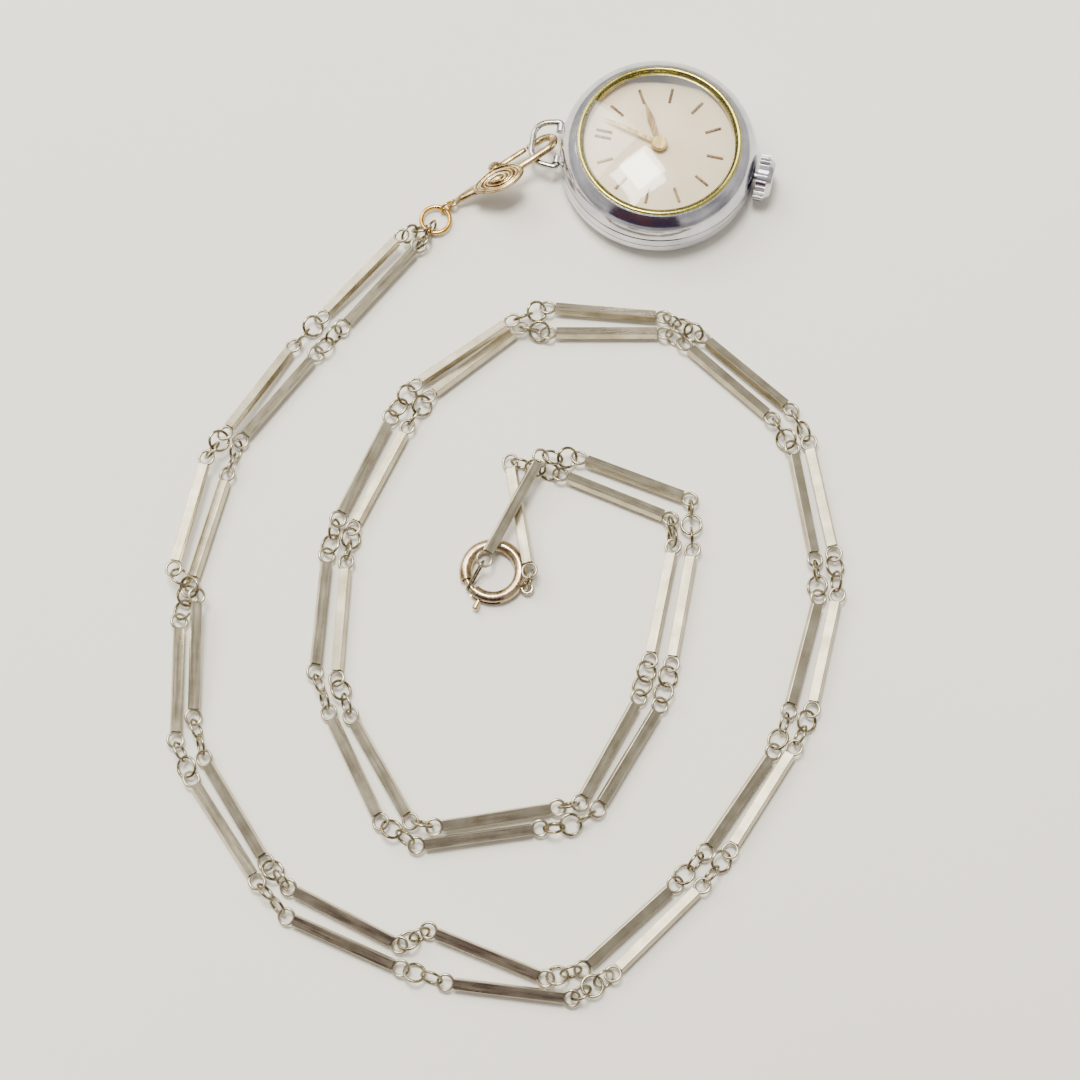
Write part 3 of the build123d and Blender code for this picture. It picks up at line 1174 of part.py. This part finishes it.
# upright ring that joins the tail eye and the last eye of strand a
TAIL_RING_Z = 1.5
with BuildPart() as tail_ring:
    eye = on_ring(TAIL_ANGLE, TAIL_EYE_OUT)
    level = Vector(1.0, -0.15, 0).normalized()
    reach = (RING_R ** 2 - (TAIL_RING_Z - SPRING_RING_AT[2]) ** 2) ** 0.5
    centre = Vector(eye.X, eye.Y, 0) + level * reach + Vector(0, 0, TAIL_RING_Z)
    with Locations(Plane(origin=centre, x_dir=(0, 0, 1), z_dir=Vector(0, 0, 1).cross(level)).location):
        Torus(RING_R, WIRE_R)
tail_ring.part.label = "tail_ring"
export_step(tail_ring.part, "parts/tail_ring.step")
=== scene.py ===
import bpy
from math import asin, cos, pi, radians, sin
from mathutils import Matrix, Vector


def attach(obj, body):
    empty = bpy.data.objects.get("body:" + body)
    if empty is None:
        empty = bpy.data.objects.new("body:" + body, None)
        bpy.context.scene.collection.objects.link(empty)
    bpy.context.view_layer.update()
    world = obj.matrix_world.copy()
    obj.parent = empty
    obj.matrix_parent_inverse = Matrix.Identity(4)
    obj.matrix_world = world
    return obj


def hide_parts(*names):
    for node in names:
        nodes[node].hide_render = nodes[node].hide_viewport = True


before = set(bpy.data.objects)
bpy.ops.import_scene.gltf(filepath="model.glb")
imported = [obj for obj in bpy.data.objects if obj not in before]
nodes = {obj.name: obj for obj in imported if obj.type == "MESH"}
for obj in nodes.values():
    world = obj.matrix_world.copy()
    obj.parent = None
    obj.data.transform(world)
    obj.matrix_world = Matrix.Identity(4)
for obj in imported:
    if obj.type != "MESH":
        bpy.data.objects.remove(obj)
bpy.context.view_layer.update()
MM = 0.001
NOISE_ROUGHNESS = 0.55
ACRYLIC_IOR = 1.49


# ---------------------------------------------------------------- materials
def new_material(name):
    mat = bpy.data.materials.new(name)
    mat.use_nodes = True
    tree = mat.node_tree
    tree.nodes.clear()
    out = tree.nodes.new("ShaderNodeOutputMaterial")
    return mat, tree, out


def noise(tree, source, scale, detail=4.0, stretch=None):
    tex = tree.nodes.new("ShaderNodeTexNoise")
    tex.inputs["Scale"].default_value = scale
    tex.inputs["Detail"].default_value = detail
    tex.inputs["Roughness"].default_value = NOISE_ROUGHNESS
    if stretch:
        mapping = tree.nodes.new("ShaderNodeMapping")
        mapping.inputs["Scale"].default_value = stretch
        tree.links.new(source, mapping.inputs["Vector"])
        source = mapping.outputs["Vector"]
    tree.links.new(source, tex.inputs["Vector"])
    return tex.outputs["Fac"]


def ramp(tree, fac, stops):
    """Colours at their places along a factor from 0 to 1."""
    node = tree.nodes.new("ShaderNodeValToRGB")
    elements = node.color_ramp.elements
    while len(elements) < len(stops):
        elements.new(0.5)
    for element, (place, colour) in zip(elements, stops):
        element.position = place
        element.color = (*colour, 1)
    tree.links.new(fac, node.inputs["Fac"])
    return node.outputs["Color"]


def spread(tree, fac, low, high):
    """The middle of a noise, 0.3 to 0.7, stretched over low to high."""
    node = tree.nodes.new("ShaderNodeMapRange")
    node.inputs["From Min"].default_value = 0.3
    node.inputs["From Max"].default_value = 0.7
    node.inputs["To Min"].default_value = low
    node.inputs["To Max"].default_value = high
    tree.links.new(fac, node.inputs["Value"])
    return node.outputs["Result"]


def bumped(tree, fac, strength, distance):
    node = tree.nodes.new("ShaderNodeBump")
    node.inputs["Strength"].default_value = strength
    node.inputs["Distance"].default_value = distance
    tree.links.new(fac, node.inputs["Height"])
    return node.outputs["Normal"]


def srgb(r, g, b):
    """A colour of 0 to 255 values, made linear."""
    def lin(v):
        v /= 255
        return v / 12.92 if v <= 0.04045 else ((v + 0.055) / 1.055) ** 2.4
    return lin(r), lin(g), lin(b)


def surface(name, stops, metal=1.0, rough=(0.2, 0.4), colour_scale=900, fine=4000,
            bump=0.1, depth=0.00002, stretch=None, uv=False):
    """A worn finish: colour, roughness and relief each vary over the piece."""
    mat, tree, out = new_material(name)
    coord = tree.nodes.new("ShaderNodeTexCoord")
    source = coord.outputs["UV" if uv else "Object"]
    bsdf = tree.nodes.new("ShaderNodeBsdfPrincipled")
    bsdf.inputs["Metallic"].default_value = metal
    tree.links.new(ramp(tree, noise(tree, source, colour_scale), stops), bsdf.inputs["Base Color"])
    fine_fac = noise(tree, source, fine, 6.0, stretch)
    tree.links.new(spread(tree, fine_fac, *rough), bsdf.inputs["Roughness"])
    tree.links.new(bumped(tree, fine_fac, bump, depth), bsdf.inputs["Normal"])
    tree.links.new(bsdf.outputs["BSDF"], out.inputs["Surface"])
    return mat


def clear_crystal(name):
    """Thin-walled clear acrylic: a faint scratched reflection over a straight view through."""
    mat, tree, out = new_material(name)
    coord = tree.nodes.new("ShaderNodeTexCoord")
    scratch = noise(tree, coord.outputs["Object"], 2500, 8.0, (1, 0.08, 1))
    glossy = tree.nodes.new("ShaderNodeBsdfGlossy")
    tree.links.new(spread(tree, scratch, 0.02, 0.09), glossy.inputs["Roughness"])
    tree.links.new(bumped(tree, scratch, 0.05, 0.000005), glossy.inputs["Normal"])
    through = tree.nodes.new("ShaderNodeBsdfTransparent")
    fresnel = tree.nodes.new("ShaderNodeFresnel")
    fresnel.inputs["IOR"].default_value = ACRYLIC_IOR
    mix = tree.nodes.new("ShaderNodeMixShader")
    tree.links.new(fresnel.outputs["Fac"], mix.inputs["Fac"])
    tree.links.new(through.outputs["BSDF"], mix.inputs[1])
    tree.links.new(glossy.outputs["BSDF"], mix.inputs[2])
    tree.links.new(mix.outputs["Shader"], out.inputs["Surface"])
    return mat


# grain drawn out along X, or along a bar where the finish follows its UVs
LENGTHWISE = (0.04, 1, 1)
MATERIALS = {
    "case_chrome": surface("case_chrome", [(0.3, srgb(176, 176, 186)), (0.7, srgb(214, 213, 218))],
                           rough=(0.07, 0.2), colour_scale=300, bump=0.05),
    "bow_chrome": surface("bow_chrome", [(0.3, srgb(150, 146, 138)), (0.7, srgb(216, 212, 204))],
                          rough=(0.14, 0.34), colour_scale=700, bump=0.2),
    "gasket": surface("gasket", [(0.3, srgb(28, 27, 26)), (0.7, srgb(46, 44, 42))], metal=0.0,
                      rough=(0.6, 0.8)),
    "crystal": clear_crystal("crystal"),
    "crystal_ring_gold": surface("crystal_ring_gold",
                                 [(0.3, srgb(142, 134, 56)), (0.7, srgb(214, 204, 120))],
                                 rough=(0.16, 0.32), colour_scale=160, bump=0.05),
    "dial_cream": surface("dial_cream", [(0.3, srgb(238, 218, 184)), (0.7, srgb(248, 233, 204))],
                          metal=0.0, rough=(0.36, 0.5), colour_scale=220, fine=9000, bump=0.12,
                          depth=0.00001),
    "marker_gold": surface("marker_gold", [(0.3, srgb(96, 76, 52)), (0.7, srgb(150, 128, 96))],
                           rough=(0.2, 0.4), colour_scale=1400, stretch=LENGTHWISE),
    "hand_gilt": surface("hand_gilt", [(0.3, srgb(214, 184, 116)), (0.7, srgb(248, 228, 170))],
                         rough=(0.16, 0.32), colour_scale=900, stretch=LENGTHWISE),
    "hand_taupe": surface("hand_taupe", [(0.3, srgb(140, 116, 84)), (0.7, srgb(190, 166, 128))],
                          rough=(0.2, 0.36), colour_scale=900, stretch=LENGTHWISE),
    "ruby": surface("ruby", [(0.3, srgb(120, 10, 30)), (0.7, srgb(176, 24, 56))], metal=0.0,
                    rough=(0.05, 0.15)),
    "clasp_nickel": surface("clasp_nickel", [(0.28, srgb(112, 84, 52)), (0.5, srgb(176, 154, 112)),
                                             (0.72, srgb(216, 202, 168))],
                            rough=(0.16, 0.38), colour_scale=700, bump=0.2),
    "ring_gold": surface("ring_gold", [(0.3, srgb(168, 122, 44)), (0.7, srgb(228, 190, 108))],
                         rough=(0.14, 0.34), colour_scale=800, bump=0.15),
    "chain_nickel": surface("chain_nickel", [(0.25, srgb(150, 140, 116)), (0.5, srgb(178, 169, 146)),
                                             (0.75, srgb(204, 196, 174))],
                            rough=(0.2, 0.42), colour_scale=0.35, fine=5.0, bump=0.2,
                            depth=0.00002, stretch=LENGTHWISE, uv=True),
    "chain_ring_silver": surface("chain_ring_silver",
                                 [(0.28, srgb(84, 72, 44)), (0.5, srgb(146, 136, 108)),
                                  (0.72, srgb(204, 198, 178))],
                                 rough=(0.14, 0.36), colour_scale=900, bump=0.15),
    "spring_ring_gold": surface("spring_ring_gold",
                                [(0.28, srgb(112, 88, 60)), (0.5, srgb(176, 156, 124)),
                                 (0.72, srgb(214, 202, 178))],
                                rough=(0.12, 0.32), colour_scale=600, bump=0.15),
    "movement_brass": surface("movement_brass", [(0.3, srgb(168, 136, 74)), (0.7, srgb(206, 178, 112))],
                              rough=(0.26, 0.44), stretch=LENGTHWISE),
    "movement_steel": surface("movement_steel", [(0.3, srgb(142, 144, 148)), (0.7, srgb(196, 198, 202))],
                              rough=(0.16, 0.34), stretch=LENGTHWISE),
}

for node_name, obj in nodes.items():
    for material_slot in obj.material_slots:
        key = material_slot.material.name.split(".")[0]
        material_slot.material = MATERIALS["hand_taupe" if node_name == "hour_hand" else key]


# ---------------------------------------------------------------- mesh building
class Pieces:
    """Gathers the faces of one node's replacement, in millimetres."""

    def __init__(self):
        self.points, self.faces, self.uvs, self.smooth = [], [], [], []

    def grid(self, rows, uv_rows, smooth=True, wrap_rows=False):
        """Faces between rows of points; uv_rows is the grain's step per row, per point, and its start."""
        first = len(self.points)
        across = len(rows[0])
        for row in rows:
            self.points += row
        count = len(rows) if wrap_rows else len(rows) - 1
        for i in range(count):
            low, high = first + i * across, first + (i + 1) % len(rows) * across
            for j in range(across):
                k = (j + 1) % across
                self.faces.append((low + j, high + j, high + k, low + k))
                u0, u1, v0 = uv_rows[0] * i, uv_rows[0] * (i + 1), uv_rows[1]
                base = uv_rows[2]
                self.uvs.append(((base + u0, v0 * j), (base + u1, v0 * j),
                                 (base + u1, v0 * (j + 1)), (base + u0, v0 * (j + 1))))
                self.smooth.append(smooth)
        return first

    def cap(self, indices):
        """One flat face over an open end."""
        self.faces.append(tuple(indices))
        self.uvs.append(tuple((0.0, 0.1 * k) for k in range(len(indices))))
        self.smooth.append(False)

    def make(self, name, node, slot, body):
        """The object that stands for a node, riding on its body."""
        mesh = bpy.data.meshes.new(name)
        mesh.from_pydata([p * MM for p in self.points], [], self.faces)
        layer = mesh.uv_layers.new(name="along")
        flat = [uv for face in self.uvs for uv in face]
        for loop, uv in zip(layer.data, flat):
            loop.uv = uv
        mesh.polygons.foreach_set("use_smooth", self.smooth)
        mesh.update()
        obj = bpy.data.objects.new(name, mesh)
        bpy.context.scene.collection.objects.link(obj)
        mesh.materials.append(MATERIALS[slot])
        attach(obj, body)
        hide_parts(node)


RING_GRAIN_STEP = 3.7       # so that no two rings, nor two bars, show the same grain
BAR_GRAIN_STEP = 17.3
BAR_FACE_GRAIN = 0.55
EYE_AROUND = 44
EYE_SECTION = 12
STEEP = 0.9                 # past this, an axis is too near X to be crossed with it


def wire_ring(pieces, centre, normal, radius, wire, seed, around=56, section=14):
    """A ring of round wire, standing across its normal."""
    normal = normal.normalized()
    helper = Vector((1, 0, 0)) if abs(normal.x) < STEEP else Vector((0, 1, 0))
    x = normal.cross(helper).normalized()
    y = normal.cross(x)
    rows = []
    for i in range(around):
        out = x * cos(2 * pi * i / around) + y * sin(2 * pi * i / around)
        rows.append([centre + out * (radius + wire * cos(2 * pi * j / section))
                     + normal * (wire * sin(2 * pi * j / section)) for j in range(section)])
    pieces.grid(rows, (2 * pi * radius / around, 2 * pi * wire / section, seed * RING_GRAIN_STEP),
                wrap_rows=True)


def bar(pieces, place, seed):
    """Chamfered bar with a wire eye at each end."""
    origin, x, y, z = place
    half_l, half_w, half_t, c = BAR_LENGTH / 2, BAR_WIDTH / 2, BAR_THICK / 2, BAR_CHAMFER
    ring = [(half_w - c, half_t), (-half_w + c, half_t), (-half_w, half_t - c), (-half_w, -half_t + c),
            (-half_w + c, -half_t), (half_w - c, -half_t), (half_w, -half_t + c), (half_w, half_t - c)]
    rows = [[origin + x * (half_l * end) + y * w + z * t for w, t in ring] for end in (-1, 1)]
    first = pieces.grid(rows, (BAR_LENGTH, BAR_FACE_GRAIN, seed * BAR_GRAIN_STEP), smooth=False)
    corners = len(ring)
    pieces.cap([first + k for k in range(corners)])
    pieces.cap([first + 2 * corners - 1 - k for k in range(corners)])
    for end in (-1, 1):
        wire_ring(pieces, origin + x * (EYE_SPACING / 2 * end), z, EYE_R, WIRE_R, seed,
                  EYE_AROUND, EYE_SECTION)


# ---------------------------------------------------------------- chain
# millimetres; the same chain as the CAD nodes that these pieces replace
EYE_SPACING = 14.0
BAR_LENGTH = 12.1
BAR_WIDTH = 1.2
BAR_THICK = 0.9
BAR_CHAMFER = 0.06
EYE_R = 0.88
RING_R = 1.17
WIRE_R = 0.17
CHAIN_Z = 1.05
TABLE_GAP = 0.02
ONE_RING_GAP = 3.25         # a gap shorter than this takes one ring
TWO_RING_GAP = 5.2          # and one shorter than this takes two
TWO_RING_LEAN = 50
THREE_RING_LEAN = 75
JUMP_RING_AT = Vector((-13.38, 24.82, 0.75))
JUMP_RING_R = 1.75
# each bar: X and Y of its middle, then its heading and roll in degrees
STRAND_A = [
    (-23.1, 31.6, 150, 20), (-40.0, 39.8, 160, 20), (-57.0, 43.5, 180, 10), (-73.4, 38.4, -167, -20),
    (-89.4, 29.4, -135, 20), (-98.2, 14.5, -104, 20), (-98.7, -2.0, -99, 20), (-92.2, -16.6, -35, 20),
    (-75.7, -25.7, -22, 20), (-57.2, -29.5, -3, 20), (-39.3, -26.0, 22, 20), (-26.2, -14.3, 60, 20),
    (-23.4, 1.2, 103, 20), (-30.6, 15.8, 142, 20), (-47.3, 23.2, 167, 20), (-65.2, 23.3, -170, 20),
    (-81.1, 14.6, -137, 20), (-83.6, 0.6, -68, 20), (-73.2, -10.2, -16, 20), (-54.9, -12.3, 1, -20),
    (-43.4, -4.3, 80, 20), (-48.44, 6.06, -157.6, 20),
]
STRAND_B = [
    (-23.6, 29.2, 153, -20), (-40.2, 37.5, 155, -20), (-58.0, 41.1, 178, 20), (-76.4, 39.8, -166, -20),
    (-91.9, 30.0, -133, -20), (-101.0, 13.8, -101, 20), (-102.0, -5.2, -84, 20), (-91.8, -19.8, -33, -20),
    (-74.8, -28.2, -20, -20), (-56.4, -31.8, -1, -20), (-38.1, -27.9, 23, -20), (-24.7, -16.2, 61, 20),
    (-20.8, 1.9, 98, 20), (-30.0, 17.3, 137, 20), (-46.6, 25.3, 168, -20), (-65.0, 25.8, -171, -20),
    (-81.6, 17.5, -141, 20), (-86.2, 2.0, -69, 20), (-73.5, -12.5, -18, 20), (-54.8, -14.7, 2, -20),
    (-40.72, -6.0, 81.4, 20), (-48.0, 7.0, 165.3, -20),
]
# heights of the two eyes of each bar that isn't flat on the table, by the bar's number
LIFTS_A = {1: (2.3, 1.05), 2: (1.05, 2.4), 3: (2.4, 2.6), 4: (2.9, 1.05), 22: (1.05, 2.2)}
LIFTS_B = {14: (2.3, 1.05), 22: (2.9, 2.5)}
# rings from the jump ring to the first eye: distance from its wire, distance to the side, lean in degrees
START_A = ((0.47, 0.15, -48), (2.36, 0.17, 67))
START_B = ((-0.05, 0.34, 85), (1.69, 0.24, -55))
# how far the rings after a bar stand off the straight line
BULGES_B = {18: -0.7}
SEED_OF_B = 50


def line_frame(along):
    """Unit vectors along a line, level across it, and up from it."""
    along = along.normalized()
    across = Vector((0, 0, 1)).cross(along).normalized()
    return along, across, along.cross(across)


def bar_place(entry, lift):
    """A bar's middle, its long axis, its width axis and the axis out of its broad face."""
    x, y, heading, roll = entry
    low, high = lift
    pitch = asin((high - low) / EYE_SPACING)
    along, across, up = line_frame(Vector((cos(radians(heading)) * cos(pitch),
                                           sin(radians(heading)) * cos(pitch), sin(pitch))))
    face = up * cos(radians(roll)) - across * sin(radians(roll))
    return Vector((x, y, (low + high) / 2)), along, face.cross(along), face


def ring_place(centre, along, angle):
    """A ring's centre and normal: it leans by an angle about the line it lies on."""
    _, across, up = line_frame(along)
    lean = radians(angle)
    height = max(centre.z, RING_R * abs(sin(lean)) + WIRE_R + TABLE_GAP)
    return Vector((centre.x, centre.y, height)), up * cos(lean) + across * sin(lean)


def gap_rings(start, end, roll_before, roll_after, bulge):
    """The one, two or three rings between two eyes, on a shallow parabola if the gap bulges."""
    gap = end - start
    reach = gap.length + 8 * bulge ** 2 / (3 * gap.length)
    middle = (roll_before + roll_after) / 2
    if reach < ONE_RING_GAP:
        rings = [(0.5, 90 - middle)]
    elif reach < TWO_RING_GAP:
        rings = [(0.31, TWO_RING_LEAN - roll_before), (0.69, -TWO_RING_LEAN - roll_after)]
    else:
        rings = [(0.22, THREE_RING_LEAN - roll_before), (0.5, -middle),
                 (0.78, -THREE_RING_LEAN - roll_after)]
    _, across, _ = line_frame(gap)
    places = []
    for share, angle in rings:
        centre = start + gap * share + across * (bulge * 4 * share * (1 - share))
        places.append(ring_place(centre, gap + across * (bulge * 4 * (1 - 2 * share)), angle))
    return places


def strand(entries, lifts, bulges, start_places):
    """Places of one strand's bars and rings, those from the jump ring last."""
    flat = (CHAIN_Z, CHAIN_Z)
    bars = [bar_place(entry, lifts.get(n, flat)) for n, entry in enumerate(entries, 1)]
    rings = []
    for n in range(1, len(bars)):
        start = bars[n - 1][0] + bars[n - 1][1] * (EYE_SPACING / 2)
        end = bars[n][0] - bars[n][1] * (EYE_SPACING / 2)
        rings += gap_rings(start, end, entries[n - 1][3], entries[n][3], bulges.get(n, 0))
    eye = bars[0][0] - bars[0][1] * (EYE_SPACING / 2)
    level = Vector((eye.x - JUMP_RING_AT.x, eye.y - JUMP_RING_AT.y, 0)).normalized()
    wire = JUMP_RING_AT + level * JUMP_RING_R
    line, across, _ = line_frame(eye - wire)
    for step, side, angle in start_places:
        rings.append(ring_place(wire + line * step + across * side, line, angle))
    return bars, rings


for letter, entries, lifts, bulges, starts in (("a", STRAND_A, LIFTS_A, {}, START_A),
                                               ("b", STRAND_B, LIFTS_B, BULGES_B, START_B)):
    bars, rings = strand(entries, lifts, bulges, starts)
    links = Pieces()
    for n, place in enumerate(bars):
        bar(links, place, n + (SEED_OF_B if letter == "b" else 0))
    links.make("chain_bars_%s_fine" % letter, "chain_bars_" + letter, "chain_nickel", "root")
    wires = Pieces()
    for n, (centre, normal) in enumerate(rings):
        wire_ring(wires, centre, normal, RING_R, WIRE_R, n)
    wires.make("chain_rings_%s_fine" % letter, "chain_rings_" + letter, "chain_ring_silver", "root")


# ---------------------------------------------------------------- crystal ring
def turned(pieces, profile, around=160):
    """A closed profile of (radius, height) turned round the upright axis."""
    rows = [[Vector((r * cos(2 * pi * i / around), r * sin(2 * pi * i / around), z))
             for r, z in profile] for i in range(around)]
    pieces.grid(rows, (0.37, 0.2, 0.0), wrap_rows=True)


# a rounded band, from its outer foot over the top to its inner foot
CRYSTAL_RING_PROFILE = [(9.95, 6.55), (9.95, 7.26), (9.86, 7.38), (9.7, 7.43), (9.5, 7.38), (9.28, 7.16),
                        (9.16, 6.7), (9.14, 6.3), (9.3, 6.2)]
band = Pieces()
turned(band, CRYSTAL_RING_PROFILE)
band.make("crystal_ring_fine", "crystal_ring", "crystal_ring_gold", "root")


# ---------------------------------------------------------------- clasp
def tilted(heading, pitch):
    """The direction of a heading and a pitch, both in degrees."""
    heading, pitch = radians(heading), radians(pitch)
    return Vector((cos(heading) * cos(pitch), sin(heading) * cos(pitch), sin(pitch)))


CLASP_AT = Vector((-2.75, 15.0, 3.0))
CLASP_HEADING = -45.3
CLASP_PITCH = 9.4
CLASP_TILT = radians(40)
HOOK_CENTRE_X = 1.3
HOOK_R = 1.55
TAIL_EYE_X = -11.75
TAIL_EYE_R = 0.6
TAIL_EYE_WIRE = 0.2
nose = tilted(CLASP_HEADING, CLASP_PITCH)
_, level_side, clasp_up = line_frame(nose)
gate_side = level_side * cos(CLASP_TILT) - clasp_up * sin(CLASP_TILT)
clasp_out = nose.cross(gate_side)


def on_clasp(x, y, z=0.0):
    """A point given along the nose, towards the gate and out of the clasp's plane."""
    return CLASP_AT + nose * x + gate_side * y + clasp_out * z


def tube(pieces, stations, section=20):
    """A rounded bar through stations of (x, y, half width, half thickness) in the clasp's plane."""
    rows = []
    for n, (x, y, wide, thick) in enumerate(stations):
        before, after = stations[max(n - 1, 0)], stations[min(n + 1, len(stations) - 1)]
        run = (on_clasp(after[0], after[1]) - on_clasp(before[0], before[1])).normalized()
        across = clasp_out.cross(run)
        rows.append([on_clasp(x, y) + across * (wide * cos(2 * pi * j / section))
                     + clasp_out * (thick * sin(2 * pi * j / section)) for j in range(section)])
    first = pieces.grid(rows, (0.4, 0.2, 0.0))
    last = first + (len(rows) - 1) * section
    pieces.cap([first + j for j in range(section)])
    pieces.cap([last + section - 1 - j for j in range(section)])


def drum(pieces, centre, axis, radius, half, edge, around=40):
    """A short turned barrel with chamfered rims and a groove round its middle."""
    x = axis.cross(Vector((0.3, 0.5, 0.8))).normalized()
    y = axis.cross(x)
    hole, groove, groove_half = 0.05, 0.05, 0.06
    profile = [(hole, -half), (radius - edge, -half), (radius, -half + edge), (radius, -2 * groove_half),
               (radius - groove, -groove_half), (radius - groove, groove_half), (radius, 2 * groove_half),
               (radius, half - edge), (radius - edge, half), (hole, half)]
    rows = [[centre + (x * cos(2 * pi * i / around) + y * sin(2 * pi * i / around)) * r + axis * h
             for r, h in profile] for i in range(around)]
    pieces.grid(rows, (0.15, 0.3, 0.0), wrap_rows=True)


def spiral_plate(pieces, centre, along, normal, half_l, half_w, thick, turns):
    """An oval plate with a raised rim round an engraved spiral, pointed a little at the tail."""
    side = normal.cross(along).normalized()
    along = side.cross(normal)
    steps, around = 34, 120
    for sign in (1, -1):
        rows = []
        for i in range(around):
            angle = 2 * pi * i / around
            row = []
            for k in range(steps + 1):
                share = max(k / steps, 0.004)
                lift = 0.0
                if sign == 1:
                    lift = 0.16 * max(0.0, 1 - abs(share - 0.93) / 0.07) - 0.03
                    if 0.06 < share < 0.84:
                        lift += 0.09 * cos(2 * pi * (share * turns - angle / (2 * pi)))
                edge = thick * (1 - max(0.0, share - 0.96) / 0.04 * 0.9)
                taper = 1 - 0.3 * max(0.0, -cos(angle)) * share
                row.append(centre + along * (half_l * share * cos(angle))
                           + side * (half_w * share * taper * sin(angle)) + normal * (sign * edge + lift))
            rows.append(row)
        pieces.grid(rows, (0.12, 0.1, 0.0), wrap_rows=True)


hook = [(HOOK_CENTRE_X + HOOK_R * sin(radians(a)), -HOOK_R * cos(radians(a)), 0.5, 0.44)
        for a in range(12, 181, 12)]
body = Pieces()
tube(body, [(-11.2, 0, 0.42, 0.34), (-10.4, -0.05, 0.6, 0.42), (-9.2, -0.15, 0.85, 0.48),
            (-7.8, -0.4, 1.15, 0.54), (-6.4, -0.75, 1.1, 0.55), (-5.0, -1.2, 0.78, 0.5),
            (-3.4, -1.5, 0.56, 0.44), (-1.2, -1.56, 0.5, 0.42), (0.3, -1.56, 0.48, 0.42)]
     + hook + [(0.4, 1.55, 0.44, 0.4), (-0.2, 1.55, 0.36, 0.36), (-0.42, 1.55, 0.24, 0.26)])
wire_ring(body, on_clasp(TAIL_EYE_X, 0), clasp_out, TAIL_EYE_R, TAIL_EYE_WIRE, 3)
plate_normal = (clasp_out + Vector((-0.25, 0, 1.1))).normalized()
plate_along = nose + Vector((0, -0.35, 0))
spiral_plate(body, on_clasp(-5.7, -2.9, 0.8), plate_along, plate_normal, half_l=3.3, half_w=1.7,
             thick=0.24, turns=3.5)
body.make("clasp_body_fine", "clasp_body", "clasp_nickel", "root")

gate = Pieces()
drum(gate, on_clasp(-5.0, 1.6), clasp_out, radius=0.8, half=0.62, edge=0.16)
tube(gate, [(-4.6, 1.6, 0.5, 0.3), (-3.6, 1.62, 0.46, 0.32), (-2.0, 1.58, 0.42, 0.32),
            (-0.9, 1.56, 0.38, 0.32), (-0.56, 1.55, 0.3, 0.28)])
gate.make("clasp_gate_fine", "clasp_gate", "clasp_nickel", "clasp_gate")


# ---------------------------------------------------------------- stage
floor_mesh = bpy.data.meshes.new("floor")
FLOOR_HALF = 1.5
floor_mesh.from_pydata([(-FLOOR_HALF, -FLOOR_HALF, 0), (FLOOR_HALF, -FLOOR_HALF, 0),
                        (FLOOR_HALF, FLOOR_HALF, 0), (-FLOOR_HALF, FLOOR_HALF, 0)], [], [(0, 1, 2, 3)])
floor = bpy.data.objects.new("floor", floor_mesh)
bpy.context.scene.collection.objects.link(floor)
floor_mesh.materials.append(surface("floor_paper", [(0.3, srgb(233, 229, 219)), (0.7, srgb(240, 237, 228))],
                                    metal=0.0, rough=(0.7, 0.85), colour_scale=6, fine=1500, bump=0.04))

world = bpy.data.worlds.new("studio")
bpy.context.scene.world = world
world.use_nodes = True
world_tree = world.node_tree
background = world_tree.nodes["Background"]
world_coord = world_tree.nodes.new("ShaderNodeTexCoord")
sky = ramp(world_tree, noise(world_tree, world_coord.outputs["Generated"], 1.6, 2.0),
           [(0.34, (0.36, 0.34, 0.33)), (0.5, (0.74, 0.71, 0.66)), (0.66, (1.0, 0.97, 0.9))])
world_tree.links.new(sky, background.inputs["Color"])
background.inputs["Strength"].default_value = 0.98


def area_light(name, place, target, size, power):
    """A square light at a place, in metres, facing a target."""
    data = bpy.data.lights.new(name, "AREA")
    data.size = size
    data.energy = power
    data.color = WARM_WHITE
    obj = bpy.data.objects.new(name, data)
    obj.location = Vector(place)
    obj.rotation_mode = "QUATERNION"
    obj.rotation_quaternion = (Vector(target) - Vector(place)).to_track_quat("-Z", "Y")
    bpy.context.scene.collection.objects.link(obj)


WARM_WHITE = (1.0, 0.97, 0.9)
# the window over the watch, then a broad soft fill
area_light("window", place=(0.078, 0.089, 0.62), target=(0.0, 0.0, 0.009), size=0.19, power=6.0)
area_light("fill", place=(0.3, 0.55, 0.7), target=(-0.05, 0.003, 0.0), size=0.6, power=8.0)

# a dark sheet behind the camera, which the polished case mirrors
shade_mesh = bpy.data.meshes.new("dark_figure")
shade_mesh.from_pydata([(-0.6, -0.4, 0.16), (-0.6, 0.4, 0.16), (-0.4, 0.3, 0.64), (-0.4, -0.3, 0.64)],
                       [], [(0, 1, 2, 3)])
shade = bpy.data.objects.new("dark_figure", shade_mesh)
bpy.context.scene.collection.objects.link(shade)
shade_mesh.materials.append(surface("dark_cloth", [(0.4, srgb(18, 20, 58)), (0.6, srgb(66, 22, 34))],
                                    metal=0.0, rough=(0.8, 0.95), colour_scale=7, fine=300, bump=0.3))

# given in millimetres; the top of the picture is nearly along X
EYE_AT = Vector((-129.7, -15.1, 257.0)) * MM
AIM_AT = Vector((-50.3, 3.2, 0)) * MM
PICTURE_UP = Vector((0.974, 0.225, 0))
camera_data = bpy.data.cameras.new("camera")
camera_data.sensor_width = 36.0
camera_data.lens = 76.67
camera = bpy.data.objects.new("camera", camera_data)
bpy.context.scene.collection.objects.link(camera)
bpy.context.scene.camera = camera
aim = (AIM_AT - EYE_AT).normalized()
right = aim.cross(PICTURE_UP).normalized()
upward = right.cross(aim)
camera.matrix_world = Matrix.Translation(EYE_AT) @ Matrix((right, upward, -aim)).transposed().to_4x4()
camera_data.clip_start = 0.01
camera_data.clip_end = 10.0
